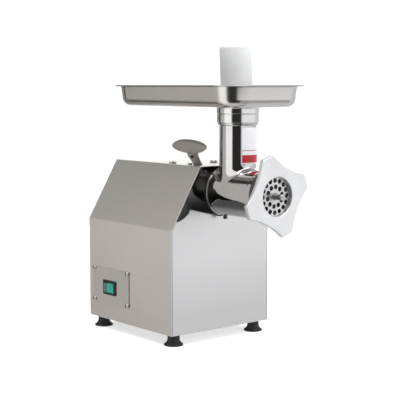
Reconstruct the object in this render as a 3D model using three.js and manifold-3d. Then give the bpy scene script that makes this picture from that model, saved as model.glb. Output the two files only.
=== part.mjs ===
// Electric meat grinder with a folded steel housing, a clamped grinding head, a feed tray and a pusher.
// Millimetres, +Z up. X runs across the machine, the star nut faces -Y, the switch is on the -X side.
// While it is being built, x = 0 is the auger axis, y = 0 the housing's front edge and z = 0 the table.
import * as THREE from "three";
import { mergeVertices } from "three/addons/utils/BufferGeometryUtils.js";
import Module from "manifold-3d";

const wasm = await Module();
wasm.setup();

// ---- driving dimensions -------------------------------------------------------------------------
const GAP = 0.3; // between faces that touch on the real machine
const SHEET = 1.5; // housing sheet
const BASE = 2; // base plate
const HOUSING = { half: 105, depth: 235, bottom: 19, fold: 191, top: 292, run: 60 };
const FOOT = { x: 87.5, inset: 17.5, radius: 16, neck: 10 };
const BASE_TOP = HOUSING.bottom + BASE + GAP; // where the parts that stand on the base plate begin

const AXIS_Z = 250; // height of the auger
const SOCKET = { radius: 39.4, bore: 33.2, front: -4.5, bottom: 37, back: 51.7 };
const HEAD = {
  radius: 39.4, spigot: 32.9, spigotBack: 36.4, chamber: 34, neck: 28, neckBack: 20,
  shoulder: -8.5, thread: 41, threadBack: -104, mouth: -123,
};
const THROAT = { y: -41, radius: 30.6, bore: 28, top: 389, beadZ: 360.5, bead: 3, beadTall: 2.8 };
const PLATE = { radius: 35, front: -128.7, back: -120.7, hole: 3.8, key: 1.8, keyBore: 2.1 };
const NUT = { front: -135.6, lobes: 7, lip: 5.5, skirt: 45, bore: 41.3, back: -116.6, opening: 30.9 };
const STUD = { radius: 4.75, tip: -146.5, back: -100 };

const TRAY = {
  halfX: 91.8, front: -128.4, back: 207.1, rimZ: 423.9, floorZ: 388.8,
  rim: 10.5, draft: 4.5, corner: 50, sheet: 1.4,
};
const COLLAR = { outer: 35, bore: 31.1, bottom: 363.8 };
const PUSHER = {
  radius: 25.5, bottom: 291, top: 486, round: 4.5,
  leanDeg: 2, leanX: -0.773, leanY: 0.635, pivotZ: 342,
};
const CLAMP = {
  y: 30, leanDeg: 31, screw: 5, thread: 5.4, tip: 33.5, end: 59.6, opening: 9,
  stem: 7.5, stemFoot: 40.2, sleeve: 5.3, handle: 85.7, halfLength: 42, halfHeight: 12, thick: 9,
};

const SWITCH = {
  y: 170.5, z: 75.5, bezelY: 18.5, bezelZ: 12.5, bezel: 1.8, bodyY: 15.6, bodyZ: 10.1, depth: 24,
  wellY: 13.6, wellZ: 8.6, wellDepth: 14, plateY: 168.2, plateZ: 78.5, halfY: 52.2, halfZ: 32,
};
const PLATE_SCREW = { y: 48.2, z: 27.3, head: 4, shank: 2, hole: 2.3, rise: 2.4, reach: 8 };
const COVER_SCREW = { shank: 2.3, hole: 2.7, end: 289.2, rise: 2.8 };
// Across, along and head radius of the two screws that hold the cover to the gear case.
const COVER_SCREWS = [[-32, 43, 4.2], [-32, 89, 6.3]];
const FILLER = { x: 32, y: 58, bore: 4.6, tooth: 6.6, root: 5.6, rise: 4, end: 286 };
const VENT = { columns: [-38, 38], rows: 7, lowest: 104, pitch: 13, half: 26, tall: 5 };
const GLAND = { x: 62, z: 52, bore: 9.3, cord: 4, nut: 13.5, nutFront: 227, end: 222 };

// Gear train: motor pinion -> lay gear, lay pinion -> output gear, all on one vertical line.
const STAGE1 = { module: 1.75, pinion: 13, gear: 58, y0: 97, y1: 109 };
const STAGE2 = { module: 2.2, pinion: 17, gear: 29, y0: 76, y1: 94 };
const LAY_Z = AXIS_Z - (STAGE2.module * (STAGE2.pinion + STAGE2.gear)) / 2;
const MOTOR_Z = LAY_Z - (STAGE1.module * (STAGE1.pinion + STAGE1.gear)) / 2;
const CASE = {
  half: 60, bottom: 112, shoulder: 252, topHalf: 38, top: 288.5,
  front: 52, back: 114, wall: 6, roof: 3.5, face: 8,
};
const CHASSIS = { y0: 114.3, y1: 121, half: 63, footTop: 24, footReach: 26 };
const MOTOR = { radius: 62, rotor: 35, front: 121.3, core0: 131.3, core1: 193, back: 203, cowl: 222 };

// ---- materials ----------------------------------------------------------------------------------
const material = (color, roughness, metalness) =>
  new THREE.MeshStandardMaterial({ color, roughness, metalness });
const brushed = material(0xb9b4ae, 0.38, 1);
const polished = material(0xc8c8ca, 0.1, 1);
const satinCast = material(0xd5d6d8, 0.42, 0.9);
const castAlloy = material(0x8d8f91, 0.6, 0.8);
const steel = material(0x9a9b9e, 0.3, 1);
const darkSteel = material(0x3a3a3c, 0.5, 0.8);
const copperRed = material(0x7d4a2f, 0.6, 0.4);
const rubber = material(0x111111, 0.8, 0);
const blackPlastic = material(0x161616, 0.45, 0);
const greenLens = material(0x0b8f72, 0.3, 0);
const whitePlastic = material(0xe6e5e0, 0.4, 0);
const greyPlastic = material(0x8f8983, 0.5, 0.1);

// ---- small tools --------------------------------------------------------------------------------
function solid(geometry) {
  const bare = geometry.clone();
  bare.deleteAttribute("normal");
  bare.deleteAttribute("uv");
  const merged = mergeVertices(bare, 1e-4);
  return new wasm.Manifold(
    new wasm.Mesh({
      numProp: 3,
      vertProperties: merged.attributes.position.array,
      triVerts: new Uint32Array(merged.index.array),
    }),
  );
}

function geometryOf(body) {
  const mesh = body.getMesh();
  const geometry = new THREE.BufferGeometry();
  geometry.setAttribute("position", new THREE.BufferAttribute(mesh.vertProperties, 3));
  geometry.setIndex(new THREE.BufferAttribute(mesh.triVerts, 1));
  return geometry;
}

const join = (first, ...rest) =>
  geometryOf(rest.reduce((body, piece) => body.add(solid(piece)), solid(first)));
const cut = (first, ...rest) =>
  geometryOf(rest.reduce((body, piece) => body.subtract(solid(piece)), solid(first)));

// An outline in (x, z), run along Y from y0 to y1.
function prismY(shape, y0, y1, curveSegments = 8) {
  const options = { depth: y1 - y0, bevelEnabled: false, curveSegments };
  return new THREE.ExtrudeGeometry(shape, options).rotateX(Math.PI / 2).translate(0, y1, 0);
}

// An outline in (y, z), run along X from x0 to x1.
const TURN_TO_X = new THREE.Matrix4().set(0, 0, 1, 0, 1, 0, 0, 0, 0, 1, 0, 0, 0, 0, 0, 1);
function prismX(shape, x0, x1, curveSegments = 8) {
  const options = { depth: x1 - x0, bevelEnabled: false, curveSegments };
  return new THREE.ExtrudeGeometry(shape, options).applyMatrix4(TURN_TO_X).translate(x0, 0, 0);
}

// An outline in (x, y), run along Z from z0 to z1.
function prismZ(shape, z0, z1, curveSegments = 8) {
  const options = { depth: z1 - z0, bevelEnabled: false, curveSegments };
  return new THREE.ExtrudeGeometry(shape, options).translate(0, 0, z0);
}

const polygon = (points) => new THREE.Shape(points.map(([a, b]) => new THREE.Vector2(a, b)));
const rectangle = (a0, a1, b0, b1) => polygon([[a0, b0], [a1, b0], [a1, b1], [a0, b1]]);
const square = (half) => rectangle(-half, half, -half, half);
const brick = (x0, x1, y0, y1, z0, z1) => prismZ(rectangle(x0, x1, y0, y1), z0, z1);

// Turned bodies: a profile of [radius, height] points, listed anticlockwise, about an axis through (x, y, z).
function latheGeometry(profile, segments) {
  return new THREE.LatheGeometry(profile.map(([r, h]) => new THREE.Vector2(r, h)), segments);
}
const latheY = (profile, z, segments = 24, x = 0) => latheGeometry(profile, segments).translate(x, 0, z);
const latheZ = (profile, x, y, segments = 24) =>
  latheGeometry(profile, segments).rotateX(Math.PI / 2).translate(x, y, 0);
const latheX = (profile, y, z, segments = 24) =>
  latheGeometry(profile, segments).rotateZ(-Math.PI / 2).translate(0, y, z);

const disc = (radius, h0, h1) => [[0, h0], [radius, h0], [radius, h1], [0, h1]];
const ring = (inner, outer, h0, h1) => [[inner, h0], [outer, h0], [outer, h1], [inner, h1], [inner, h0]];

// ---- housing ------------------------------------------------------------------------------------
const slopeLength = Math.hypot(HOUSING.run, HOUSING.top - HOUSING.fold);
const slopeNormal = [(HOUSING.top - HOUSING.fold) / slopeLength, HOUSING.run / slopeLength];

// Half width of the housing at a height above the fold, moved in by an inset.
function slopeX(z, inset = 0) {
  return HOUSING.half - (inset + slopeNormal[1] * (z - HOUSING.fold)) / slopeNormal[0];
}
const foldZ = (inset) => HOUSING.fold + (inset * (slopeNormal[0] - 1)) / slopeNormal[1];

// The housing's section from its lower right corner over the top to its lower left corner.
function section(inset, bottom) {
  const top = HOUSING.top - inset;
  const right = [
    [HOUSING.half - inset, bottom],
    [HOUSING.half - inset, foldZ(inset)],
    [slopeX(top, inset), top],
  ];
  return [...right, ...right.map(([x, z]) => [-x, z]).reverse()];
}

function clampAxis(radius, from, to, segments = 16) {
  return latheGeometry(disc(radius, from, to), segments)
    .rotateX(Math.PI / 2)
    .rotateY(THREE.MathUtils.degToRad(-CLAMP.leanDeg))
    .translate(0, CLAMP.y, AXIS_Z);
}

const plateCorners = [[-1, -1], [1, -1], [1, 1], [-1, 1]].map(([a, b]) => [
  SWITCH.plateY + a * PLATE_SCREW.y,
  SWITCH.plateZ + b * PLATE_SCREW.z,
]);

function housingShell() {
  const outline = polygon([...section(0, HOUSING.bottom), ...section(SHEET, HOUSING.bottom).reverse()]);
  const { half, top } = HOUSING;
  const past = 5; // how far a cut runs past the sheet on either side
  const window = rectangle(SWITCH.y - 24, SWITCH.y + 24, SWITCH.z - 16, SWITCH.z + 16);
  return cut(
    prismY(outline, 0, HOUSING.depth),
    prismX(window, -half - past, -half + past),
    ...plateCorners.map(([y, z]) => latheX(disc(PLATE_SCREW.hole, -half - past, -half + past), y, z, 8)),
    ...COVER_SCREWS.map(([x, y]) => latheZ(disc(COVER_SCREW.hole, top - past, top + past), x, y, 8)),
    latheZ(disc(FILLER.bore + 0.4, top - past, top + past), FILLER.x, FILLER.y, 12),
    clampAxis(CLAMP.opening, 30, 70),
  );
}

// Front panel: shoulders just above the fold, then two crests. The wide V between them clears the socket tube.
function frontPanel() {
  const inset = SHEET + GAP;
  const half = HOUSING.half - inset;
  const shoulderZ = 204;
  const crest = [67, 223.5];
  const hollow = [crest[0] + 1, 210]; // what the curve between shoulder and crest bends towards
  const clearance = 2.6;
  const notch = SOCKET.radius + clearance;
  const drop = AXIS_Z - crest[1];
  const angle = -Math.atan2(drop, crest[0]) - Math.acos(notch / Math.hypot(crest[0], drop));
  const shape = new THREE.Shape();
  shape.moveTo(-half, HOUSING.bottom);
  shape.lineTo(half, HOUSING.bottom);
  shape.lineTo(half, foldZ(inset));
  shape.lineTo(slopeX(shoulderZ, inset), shoulderZ);
  shape.quadraticCurveTo(...hollow, ...crest);
  shape.absarc(0, AXIS_Z, notch, angle, -Math.PI - angle, true);
  shape.lineTo(-crest[0], crest[1]);
  shape.quadraticCurveTo(-hollow[0], hollow[1], -slopeX(shoulderZ, inset), shoulderZ);
  shape.lineTo(-half, foldZ(inset));
  return prismY(shape, 0, SHEET, 8);
}

function rearPanel() {
  const back = HOUSING.depth;
  const vents = [];
  for (const x of VENT.columns)
    for (let row = 0; row < VENT.rows; row++) {
      const z = VENT.lowest + row * VENT.pitch;
      vents.push(brick(x - VENT.half, x + VENT.half, back - 5, back + 5, z, z + VENT.tall));
    }
  return cut(
    prismY(polygon(section(SHEET + GAP, HOUSING.bottom)), back - SHEET, back),
    latheY(disc(GLAND.bore, back - 5, back + 5), GLAND.z, 16, GLAND.x),
    ...vents,
  );
}

function basePlate() {
  const half = HOUSING.half - SHEET - GAP;
  return brick(-half, half, SHEET + GAP, HOUSING.depth - SHEET - GAP, HOUSING.bottom, HOUSING.bottom + BASE);
}

// Moulded rubber foot with a shallow suction cup and a flat rim.
function foot(x, y) {
  const r = FOOT.radius;
  const neck = FOOT.neck;
  const profile = [[0, 2], [r - 4, 2], [r - 3.5, 0], [r, 0], [r, 1.4], [neck + 1.6, 6.5], [neck, 10]];
  return latheZ([...profile, [neck, HOUSING.bottom - GAP], [0, HOUSING.bottom - GAP]], x, y, 14);
}

// Pan-head screw along an axis: head from h0 to h1, shank from h0 back to its end.
const screwProfile = (head, shank, end, h0, h1) => [
  [0, end],
  [shank, end],
  [shank, h0],
  [head, h0],
  [head, h0 + (h1 - h0) * 0.45],
  [head * 0.6, h1],
  [0, h1],
];

const plateFace = HOUSING.half + GAP + SHEET; // outer face of the switch plate, as a distance from x = 0

function switchPlate() {
  const { plateY, plateZ, halfY, halfZ } = SWITCH;
  const shape = rectangle(plateY - halfY, plateY + halfY, plateZ - halfZ, plateZ + halfZ);
  shape.holes.push(rectangle(SWITCH.y - 16, SWITCH.y + 16, SWITCH.z - 10.5, SWITCH.z + 10.5));
  for (const [y, z] of plateCorners) {
    const hole = new THREE.Path();
    hole.absarc(y, z, PLATE_SCREW.hole, 0, Math.PI * 2, true);
    shape.holes.push(hole);
  }
  return prismX(shape, -plateFace, -plateFace + SHEET, 5);
}

function plateScrew(y, z) {
  const { head, shank, reach, rise } = PLATE_SCREW;
  const face = plateFace + GAP;
  return latheX(screwProfile(head, shank, HOUSING.half - reach, face, face + rise), y, z, 8).applyMatrix4(
    new THREE.Matrix4().makeRotationZ(Math.PI).setPosition(0, 2 * y, 0),
  );
}

function switchBody() {
  const { y, z, bezelY, bezelZ, bezel, bodyY, bodyZ, depth, wellY, wellZ, wellDepth } = SWITCH;
  const face = -plateFace - GAP;
  return cut(
    join(
      prismX(rectangle(y - bezelY, y + bezelY, z - bezelZ, z + bezelZ), face - bezel, face),
      prismX(rectangle(y - bodyY, y + bodyY, z - bodyZ, z + bodyZ), face - bezel / 2, face + depth),
    ),
    prismX(rectangle(y - wellY, y + wellY, z - wellZ, z + wellZ), face - bezel - 1, face + wellDepth),
  );
}

// Rocker with a shallow V face, resting on its off side. It turns about a vertical pin.
const ROCKER = { x: -plateFace - GAP + 4, half: 11.6, tall: 8.2, restDeg: 8 };
function rocker() {
  const { x, half, tall, restDeg } = ROCKER;
  const back = 4.5;
  const outline = polygon([
    [-half, -9.2], [0, -6.4], [half, -9.2], [half, -2], [5, back], [-5, back], [-half, -2],
  ]);
  return prismZ(outline, -tall, tall)
    .rotateZ(THREE.MathUtils.degToRad(restDeg) - Math.PI / 2)
    .translate(x, SWITCH.y, SWITCH.z);
}

function coverScrew(x, y, head) {
  const { shank, end, rise } = COVER_SCREW;
  const face = HOUSING.top + GAP;
  return latheZ(screwProfile(head, shank, end, face, face + rise), x, y, 10);
}

// Oil filler plug: a knurled head on a threaded stem that reaches into the gear case.
function fillerPlug() {
  const face = HOUSING.top + GAP;
  const knurl = new THREE.Shape();
  const teeth = 8;
  for (let i = 0; i < teeth * 2; i++) {
    const angle = (i * Math.PI) / teeth;
    const r = i % 2 ? FILLER.root : FILLER.tooth;
    knurl[i ? "lineTo" : "moveTo"](r * Math.cos(angle), r * Math.sin(angle));
  }
  return join(
    prismZ(knurl, face, face + FILLER.rise).translate(FILLER.x, FILLER.y, 0),
    latheZ(disc(FILLER.bore - GAP, FILLER.end, face + 1), FILLER.x, FILLER.y, 12),
  );
}

// ---- gear case and chassis ----------------------------------------------------------------------
const caseOutline = (half, bottom, shoulder, topHalf, top) => {
  const right = [[half, bottom], [half, shoulder], [topHalf, top]];
  return polygon([...right, ...right.map(([x, z]) => [-x, z]).reverse()]);
};

const BEARING = { outer: 23.5, seat: 23.8, lip: 20, lipThick: 2.2, back: 73 };
const SHAFT = { output: 12.5, lay: 8, motor: 7, bush: 13, bushSeat: 13.5 };

function socketTube() {
  const { radius, bore, front, bottom, back } = SOCKET;
  const profile = [
    [bore, front], [radius, front], [radius, back], [BEARING.seat, back],
    [BEARING.seat, bottom + BEARING.lipThick], [BEARING.lip, bottom + BEARING.lipThick], [BEARING.lip, bottom],
    [bore, bottom], [bore, front],
  ];
  return cut(latheY(profile, AXIS_Z, 32), clampAxis(CLAMP.thread, 25, 50));
}

function gearCase() {
  const { half, bottom, shoulder, topHalf, top, front, back, wall, roof, face } = CASE;
  const inner = caseOutline(half - wall, bottom + wall, shoulder - 2, topHalf - roof, top - roof);
  const outputBoss = { radius: 29, back: BEARING.back + 0.5 };
  const layBoss = { radius: 17, back: 71 };
  return cut(
    join(
      cut(
        prismY(caseOutline(half, bottom, shoulder, topHalf, top), front, back),
        prismY(inner, front + face, back + 1),
      ),
      latheY(disc(outputBoss.radius, front + face - 1, outputBoss.back), AXIS_Z, 20),
      latheY(disc(layBoss.radius, front + face - 1, layBoss.back), LAY_Z, 16),
    ),
    latheY(disc(SHAFT.output + 1.5, front - 1, front + face + 1), AXIS_Z, 16),
    latheY(disc(BEARING.seat + GAP, front + face, outputBoss.back + 1), AXIS_Z, 20),
    latheY(disc(SHAFT.bushSeat, front + face, layBoss.back + 1), LAY_Z, 16),
    latheZ(disc(FILLER.bore, top - roof - 5, top + 1), FILLER.x, FILLER.y, 12),
  );
}

// Steel plate that closes the gear case, carries the motor and stands on the base plate.
function chassisPlate() {
  const { y0, y1, half, footTop, footReach } = CHASSIS;
  const pinionHole = 10;
  return cut(
    join(
      prismY(caseOutline(half, BASE_TOP, CASE.shoulder, CASE.topHalf, CASE.top), y0, y1),
      brick(-half, half, y0, y1 + footReach, BASE_TOP, footTop),
    ),
    latheY(disc(SHAFT.bushSeat, y0 - 1, y1 + 1), LAY_Z, 16),
    latheY(disc(pinionHole, y0 - 1, y1 + 1), MOTOR_Z, 16),
  );
}

const bearing = (z, shaft, outer, y0, y1) => latheY(ring(shaft + GAP, outer, y0, y1), z, 18);

// A spur gear's outline: straight-sided teeth, slimmer than the space between them.
function gearShape(module, teeth, bore, turn = 0) {
  const pitch = (module * teeth) / 2;
  const step = (Math.PI * 2) / teeth;
  const corners = [[-0.29, pitch - 1.15 * module], [-0.105, pitch + 0.8 * module]];
  const tooth = [...corners, ...corners.map(([a, r]) => [-a, r]).reverse()];
  const points = [];
  for (let i = 0; i < teeth; i++)
    for (const [a, r] of tooth) {
      const angle = turn + (i + a) * step;
      points.push([r * Math.cos(angle), r * Math.sin(angle)]);
    }
  const shape = polygon(points);
  const hole = new THREE.Path();
  hole.absarc(0, 0, bore, 0, Math.PI * 2, true);
  shape.holes.push(hole);
  return shape;
}

const UP = Math.PI / 2;
// A tooth points straight down the centre line on each driving gear, a space on each gear it meets.
const gear = (stage, teeth, bore, z, turn, extra = 0) =>
  prismY(gearShape(stage.module, teeth, bore, turn), stage.y0 - extra, stage.y1 + extra, 8).translate(0, 0, z);

function outputShaft() {
  return cut(
    latheY(disc(SHAFT.output, 39, 95.5), AXIS_Z, 20),
    prismY(square(AUGER.tailHalf + 0.4), 38, 58).translate(0, 0, AXIS_Z),
  );
}

// ---- motor and wiring ---------------------------------------------------------------------------
function motorShaft() {
  const { motor: radius } = SHAFT;
  const nose = 5.5; // the turned-down end that carries the pinion
  const profile = [[0, 95.5], [nose, 95.5], [nose, 111], [radius, 111], [radius, 216], [0, 216]];
  return latheY(profile, MOTOR_Z, 16);
}

function motorBell(y0, y1) {
  return cut(
    latheY(ring(9, MOTOR.radius - 1, y0, y1), MOTOR_Z, 26),
    latheY(disc(15.5, y0 + 1.5, y1 + 1), MOTOR_Z, 18),
  );
}

function fan() {
  const blade = rectangle(10, 50, -1, 1);
  const blades = Array.from({ length: 6 }, (_, i) =>
    prismY(blade, 206, 215).rotateY((i * Math.PI) / 3),
  );
  const hub = latheY(ring(7.4, 15, 205, 215), 0, 16);
  const backing = latheY(ring(14, 51, 205, 206.5), 0, 24);
  return join(hub, backing, ...blades).translate(0, 0, MOTOR_Z);
}

function fanCowl() {
  const { radius, back, cowl } = MOTOR;
  const profile = [
    [20, cowl - 1.5], [radius - 2, cowl - 1.5], [radius - 2, back + GAP], [radius, back + GAP],
    [radius, cowl], [20, cowl], [20, cowl - 1.5],
  ];
  return latheY(profile, MOTOR_Z, 26);
}

const CAPACITOR = { y: 190, z: 44, radius: 20, x0: -46, x1: 30 };

function capacitorClip() {
  const { y, z, radius } = CAPACITOR;
  const wide = 16;
  const strip = 1.8;
  const ear = 30;
  return cut(
    join(
      latheX(disc(radius + strip, -wide, 0), y, z, 20),
      brick(-wide, 0, y - ear, y + ear, BASE_TOP, BASE_TOP + strip),
    ),
    latheX(disc(radius + GAP + 0.2, -wide - 1, 1), y, z, 20),
  );
}

const TERMINALS = { x: 64, y: 176, wide: 34, deep: 24, base: 6, tall: 16, pitch: 9, tower: 7, inset: 4 };

function terminalBlock() {
  const { x, y, wide, deep, base, tall, pitch, tower, inset } = TERMINALS;
  const towers = [0, 1, 2].map((i) => {
    const start = x + inset + i * pitch;
    return brick(start, start + tower, y + 2, y + deep - 2, BASE_TOP + base - 1, BASE_TOP + tall);
  });
  return join(brick(x, x + wide, y, y + deep, BASE_TOP, BASE_TOP + base), ...towers);
}

function cableGland() {
  const { cord, end, bore } = GLAND;
  const wall = HOUSING.depth + GAP;
  const stem = bore - GAP;
  const profile = [
    [cord, end], [stem, end], [stem, wall], [12.5, wall], [12.5, wall + 5],
    [9.5, wall + 6], [8, wall + 13], [cord, wall + 13], [cord, end],
  ];
  return latheY(profile, GLAND.z, 14, GLAND.x);
}

function glandNut() {
  const body = latheY(disc(GLAND.nut, GLAND.nutFront, HOUSING.depth - SHEET - GAP), GLAND.z, 6, GLAND.x);
  return cut(body, latheY(disc(GLAND.bore + 0.2, 220, HOUSING.depth), GLAND.z, 14, GLAND.x));
}

// ---- clamp knob ---------------------------------------------------------------------------------
function alongClamp(geometry) {
  return geometry.rotateY(THREE.MathUtils.degToRad(-CLAMP.leanDeg)).translate(0, CLAMP.y, AXIS_Z);
}

// Cast handle: a stem that flares into an oval paddle as wide as a hand.
function clampHandle() {
  const { handle, halfLength, halfHeight, thick, stem, stemFoot, sleeve, end } = CLAMP;
  const paddle = new THREE.Shape();
  paddle.absellipse(0, handle, halfLength, halfHeight, 0, Math.PI * 2, false);
  const profile = [
    [0, end + 0.4], [sleeve, end + 0.4], [sleeve, stemFoot], [stem, stemFoot], [stem, 66],
    [9, handle - halfHeight + 2], [0, handle],
  ];
  return alongClamp(
    join(
      latheGeometry(profile, 16).rotateX(Math.PI / 2),
      prismX(paddle, -thick / 2, thick / 2, 9),
    ),
  );
}

// ---- grinding head ------------------------------------------------------------------------------
function headCasting() {
  const { radius, spigot, spigotBack, chamber, neck, neckBack, shoulder, thread, threadBack, mouth } = HEAD;
  const flange = { rise: 1.2, thick: 2.5 };
  const outside = [
    [0, mouth], [thread, mouth], [thread, threadBack], [radius, threadBack], [radius, shoulder - flange.thick],
    [radius + flange.rise, shoulder - flange.thick], [radius + flange.rise, shoulder],
    [spigot, shoulder], [spigot, spigotBack], [0, spigotBack],
  ];
  const inside = [
    [0, mouth - 1], [PLATE.radius + GAP, mouth - 1], [PLATE.radius + GAP, PLATE.back + GAP],
    [chamber, PLATE.back + GAP], [chamber, shoulder - 5], [neck, shoulder - 3],
    [neck, neckBack], [0, neckBack],
  ];
  return cut(
    join(
      latheY(outside, AXIS_Z, 32),
      latheZ(disc(THROAT.radius, AXIS_Z, THROAT.top), 0, THROAT.y, 28),
      latheZ(disc(THROAT.radius + THROAT.bead, THROAT.beadZ, THROAT.beadZ + THROAT.beadTall), 0, THROAT.y, 28),
    ),
    latheY(inside, AXIS_Z, 32),
    latheZ(disc(THROAT.bore, AXIS_Z, THROAT.top + 1), 0, THROAT.y, 28),
    latheY(disc(AUGER.journal + GAP, neckBack - 1, spigotBack + 1), AXIS_Z, 16),
    latheY(disc(PLATE.keyBore, mouth - 1, mouth + 6), AXIS_Z - PLATE.radius, 8),
    latheZ(disc(LOCATING.bore, 205, 213.8), LOCATING.x, LOCATING.y, 8),
  );
}

const LOCATING = { x: -4, y: -14.5, head: 3.6, shank: 2, bore: 2.4, low: 204.5, seat: 209.8, top: 213.2 };

function locatingScrew() {
  const { x, y, head, shank, low, seat, top } = LOCATING;
  const profile = [
    [0, low], [head - 1, low], [head, low + 1.3], [head, seat], [shank, seat], [shank, top], [0, top],
  ];
  return latheZ(profile, x, y, 10);
}

function oRing() {
  const mid = (HEAD.shoulder + SOCKET.front) / 2;
  const half = (SOCKET.front - HEAD.shoulder) / 2 - GAP;
  const profile = [];
  for (let i = 0; i <= 5; i++) {
    const angle = (i * Math.PI * 2) / 5 - Math.PI / 2;
    profile.push([HEAD.radius - 1.4 + 1.7 * Math.cos(angle), mid + half * Math.sin(angle)]);
  }
  return latheY(profile, AXIS_Z, 28);
}

// Cutting plate: two rings of holes, a centre hole for the stud and a notch for its key.
function cuttingPlate() {
  const circle = (x, z, r, sides) =>
    polygon(
      Array.from({ length: sides }, (_, i) => {
        const angle = (i * Math.PI * 2) / sides;
        return [x + r * Math.cos(angle), z + r * Math.sin(angle)];
      }),
    );
  const shape = circle(0, 0, PLATE.radius, 32);
  for (const [count, r, turn] of [[16, 25.4, 0], [10, 15.4, 0.2]])
    for (let i = 0; i < count; i++) {
      const angle = turn + (i * Math.PI * 2) / count;
      shape.holes.push(circle(r * Math.cos(angle), r * Math.sin(angle), PLATE.hole, 6));
    }
  shape.holes.push(circle(0, 0, STUD.radius + GAP, 16));
  return cut(
    prismY(shape, PLATE.front, PLATE.back).translate(0, 0, AXIS_Z),
    latheY(disc(PLATE.keyBore, PLATE.front - 1, PLATE.back + 1), AXIS_Z - PLATE.radius, 8),
  );
}

function knife() {
  const arms = 4;
  const shape = new THREE.Shape();
  for (let i = 0; i < arms; i++) {
    const turn = (i * Math.PI * 2) / arms;
    for (const [j, [r, a]] of [[14, -0.55], [32.6, -0.16], [33, 0.12], [14, 0.45]].entries())
      shape[i || j ? "lineTo" : "moveTo"](r * Math.cos(turn + a), r * Math.sin(turn + a));
  }
  shape.holes.push(square(AUGER.knifeHalf + GAP));
  return prismY(shape, PLATE.back + GAP, PLATE.back + 8.3).translate(0, 0, AXIS_Z);
}

// Auger: one thick flight twisted round a core, with a square end for the knife and a square tail.
const AUGER = {
  front: -112.1, flightBack: -14.5, core: 13, flight: 32.8, pitch: 42,
  knifeEnd: -120, knifeHalf: 6.3, journal: 13.7, journalBack: 38, tailHalf: 7.4, tailBack: 55,
};

function auger() {
  const length = AUGER.flightBack - AUGER.front;
  const turns = length / AUGER.pitch;
  const outline = [];
  for (const deg of [-60, -34, 0, 34, 60, 105, 150, 210, 255]) {
    const angle = THREE.MathUtils.degToRad(deg);
    const radius = Math.abs(deg) < 40 ? AUGER.flight : AUGER.core;
    outline.push([radius * Math.cos(angle), radius * Math.sin(angle)]);
  }
  const steps = Math.round(turns * 12);
  const options = { depth: length, steps, bevelEnabled: false };
  const flight = new THREE.ExtrudeGeometry(polygon(outline), options);
  const position = flight.attributes.position;
  const point = new THREE.Vector3();
  const axis = new THREE.Vector3(0, 0, 1);
  for (let i = 0; i < position.count; i++) {
    point.fromBufferAttribute(position, i);
    point.applyAxisAngle(axis, (point.z / length) * turns * Math.PI * 2);
    position.setXYZ(i, point.x, point.y, point.z);
  }
  flight.rotateX(Math.PI / 2).translate(0, AUGER.flightBack, 0);
  return cut(
    join(
      flight,
      prismY(square(AUGER.knifeHalf), AUGER.knifeEnd, AUGER.front + 1),
      latheY(disc(AUGER.journal, AUGER.flightBack - 1, AUGER.journalBack), 0, 18),
      prismY(square(AUGER.tailHalf), AUGER.journalBack - 1, AUGER.tailBack),
    ).translate(0, 0, AXIS_Z),
    latheY(disc(STUD.radius + GAP, AUGER.knifeEnd - 1, STUD.back + GAP), AXIS_Z, 12),
  );
}

// Star nut: four flat-ended lobes with hollowed flanks, leaning a little to the left.
const NUT_TURN = THREE.MathUtils.degToRad(19.4);

function ringNut() {
  const lobes = 4;
  const tip = 65.5;
  const halfTip = 12.3;
  const corner = 2;
  const shape = new THREE.Shape();
  const at = (angle, along, across) => [
    along * Math.cos(angle) - across * Math.sin(angle),
    along * Math.sin(angle) + across * Math.cos(angle),
  ];
  for (let i = 0; i < lobes; i++) {
    const angle = NUT_TURN + (i * Math.PI * 2) / lobes;
    const middle = angle + Math.PI / lobes;
    if (!i) shape.moveTo(...at(angle, tip - corner, -halfTip));
    shape.lineTo(...at(angle, tip, -halfTip + corner));
    shape.lineTo(...at(angle, tip, halfTip - corner));
    shape.lineTo(...at(angle, tip - corner, halfTip));
    shape.quadraticCurveTo(...at(middle, 43, 0), ...at(angle + Math.PI / 2, tip - corner, -halfTip));
  }
  const lobesBack = NUT.front + NUT.lobes;
  return cut(
    join(
      prismY(shape, NUT.front, lobesBack, 8).translate(0, 0, AXIS_Z),
      latheY(disc(NUT.skirt, lobesBack - 1, NUT.back), AXIS_Z, 32),
    ),
    latheY(disc(NUT.opening, NUT.front - 1, NUT.back + 1), AXIS_Z, 28),
    latheY(disc(NUT.bore, NUT.front + NUT.lip, NUT.back + 1), AXIS_Z, 32),
  );
}

// ---- tray and pusher ----------------------------------------------------------------------------
function roundedRectangle(x0, x1, y0, y1, r) {
  const shape = new THREE.Shape();
  shape.absarc(x1 - r, y0 + r, r, -Math.PI / 2, 0, false);
  shape.absarc(x1 - r, y1 - r, r, 0, Math.PI / 2, false);
  shape.absarc(x0 + r, y1 - r, r, Math.PI / 2, Math.PI, false);
  shape.absarc(x0 + r, y0 + r, r, Math.PI, Math.PI * 1.5, false);
  return shape;
}

// A pan's solid between two heights, drawn in towards the bottom by the draft.
function panSolid(inset, z0, z1) {
  const halfX = TRAY.halfX - TRAY.rim - inset;
  const midY = (TRAY.front + TRAY.back) / 2;
  const halfY = (TRAY.back - TRAY.front) / 2 - TRAY.rim - inset;
  const outline = roundedRectangle(-halfX, halfX, -halfY, halfY, TRAY.corner - TRAY.rim - inset);
  const pan = prismZ(outline, z0, z1, 3);
  const position = pan.attributes.position;
  for (let i = 0; i < position.count; i++) {
    const low = (TRAY.rimZ - position.getZ(i)) / (TRAY.rimZ - TRAY.floorZ);
    const x = position.getX(i) * (1 - (low * TRAY.draft) / halfX);
    const y = position.getY(i) * (1 - (low * TRAY.draft) / halfY);
    position.setXYZ(i, x, y + midY, position.getZ(i));
  }
  return pan;
}

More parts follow.
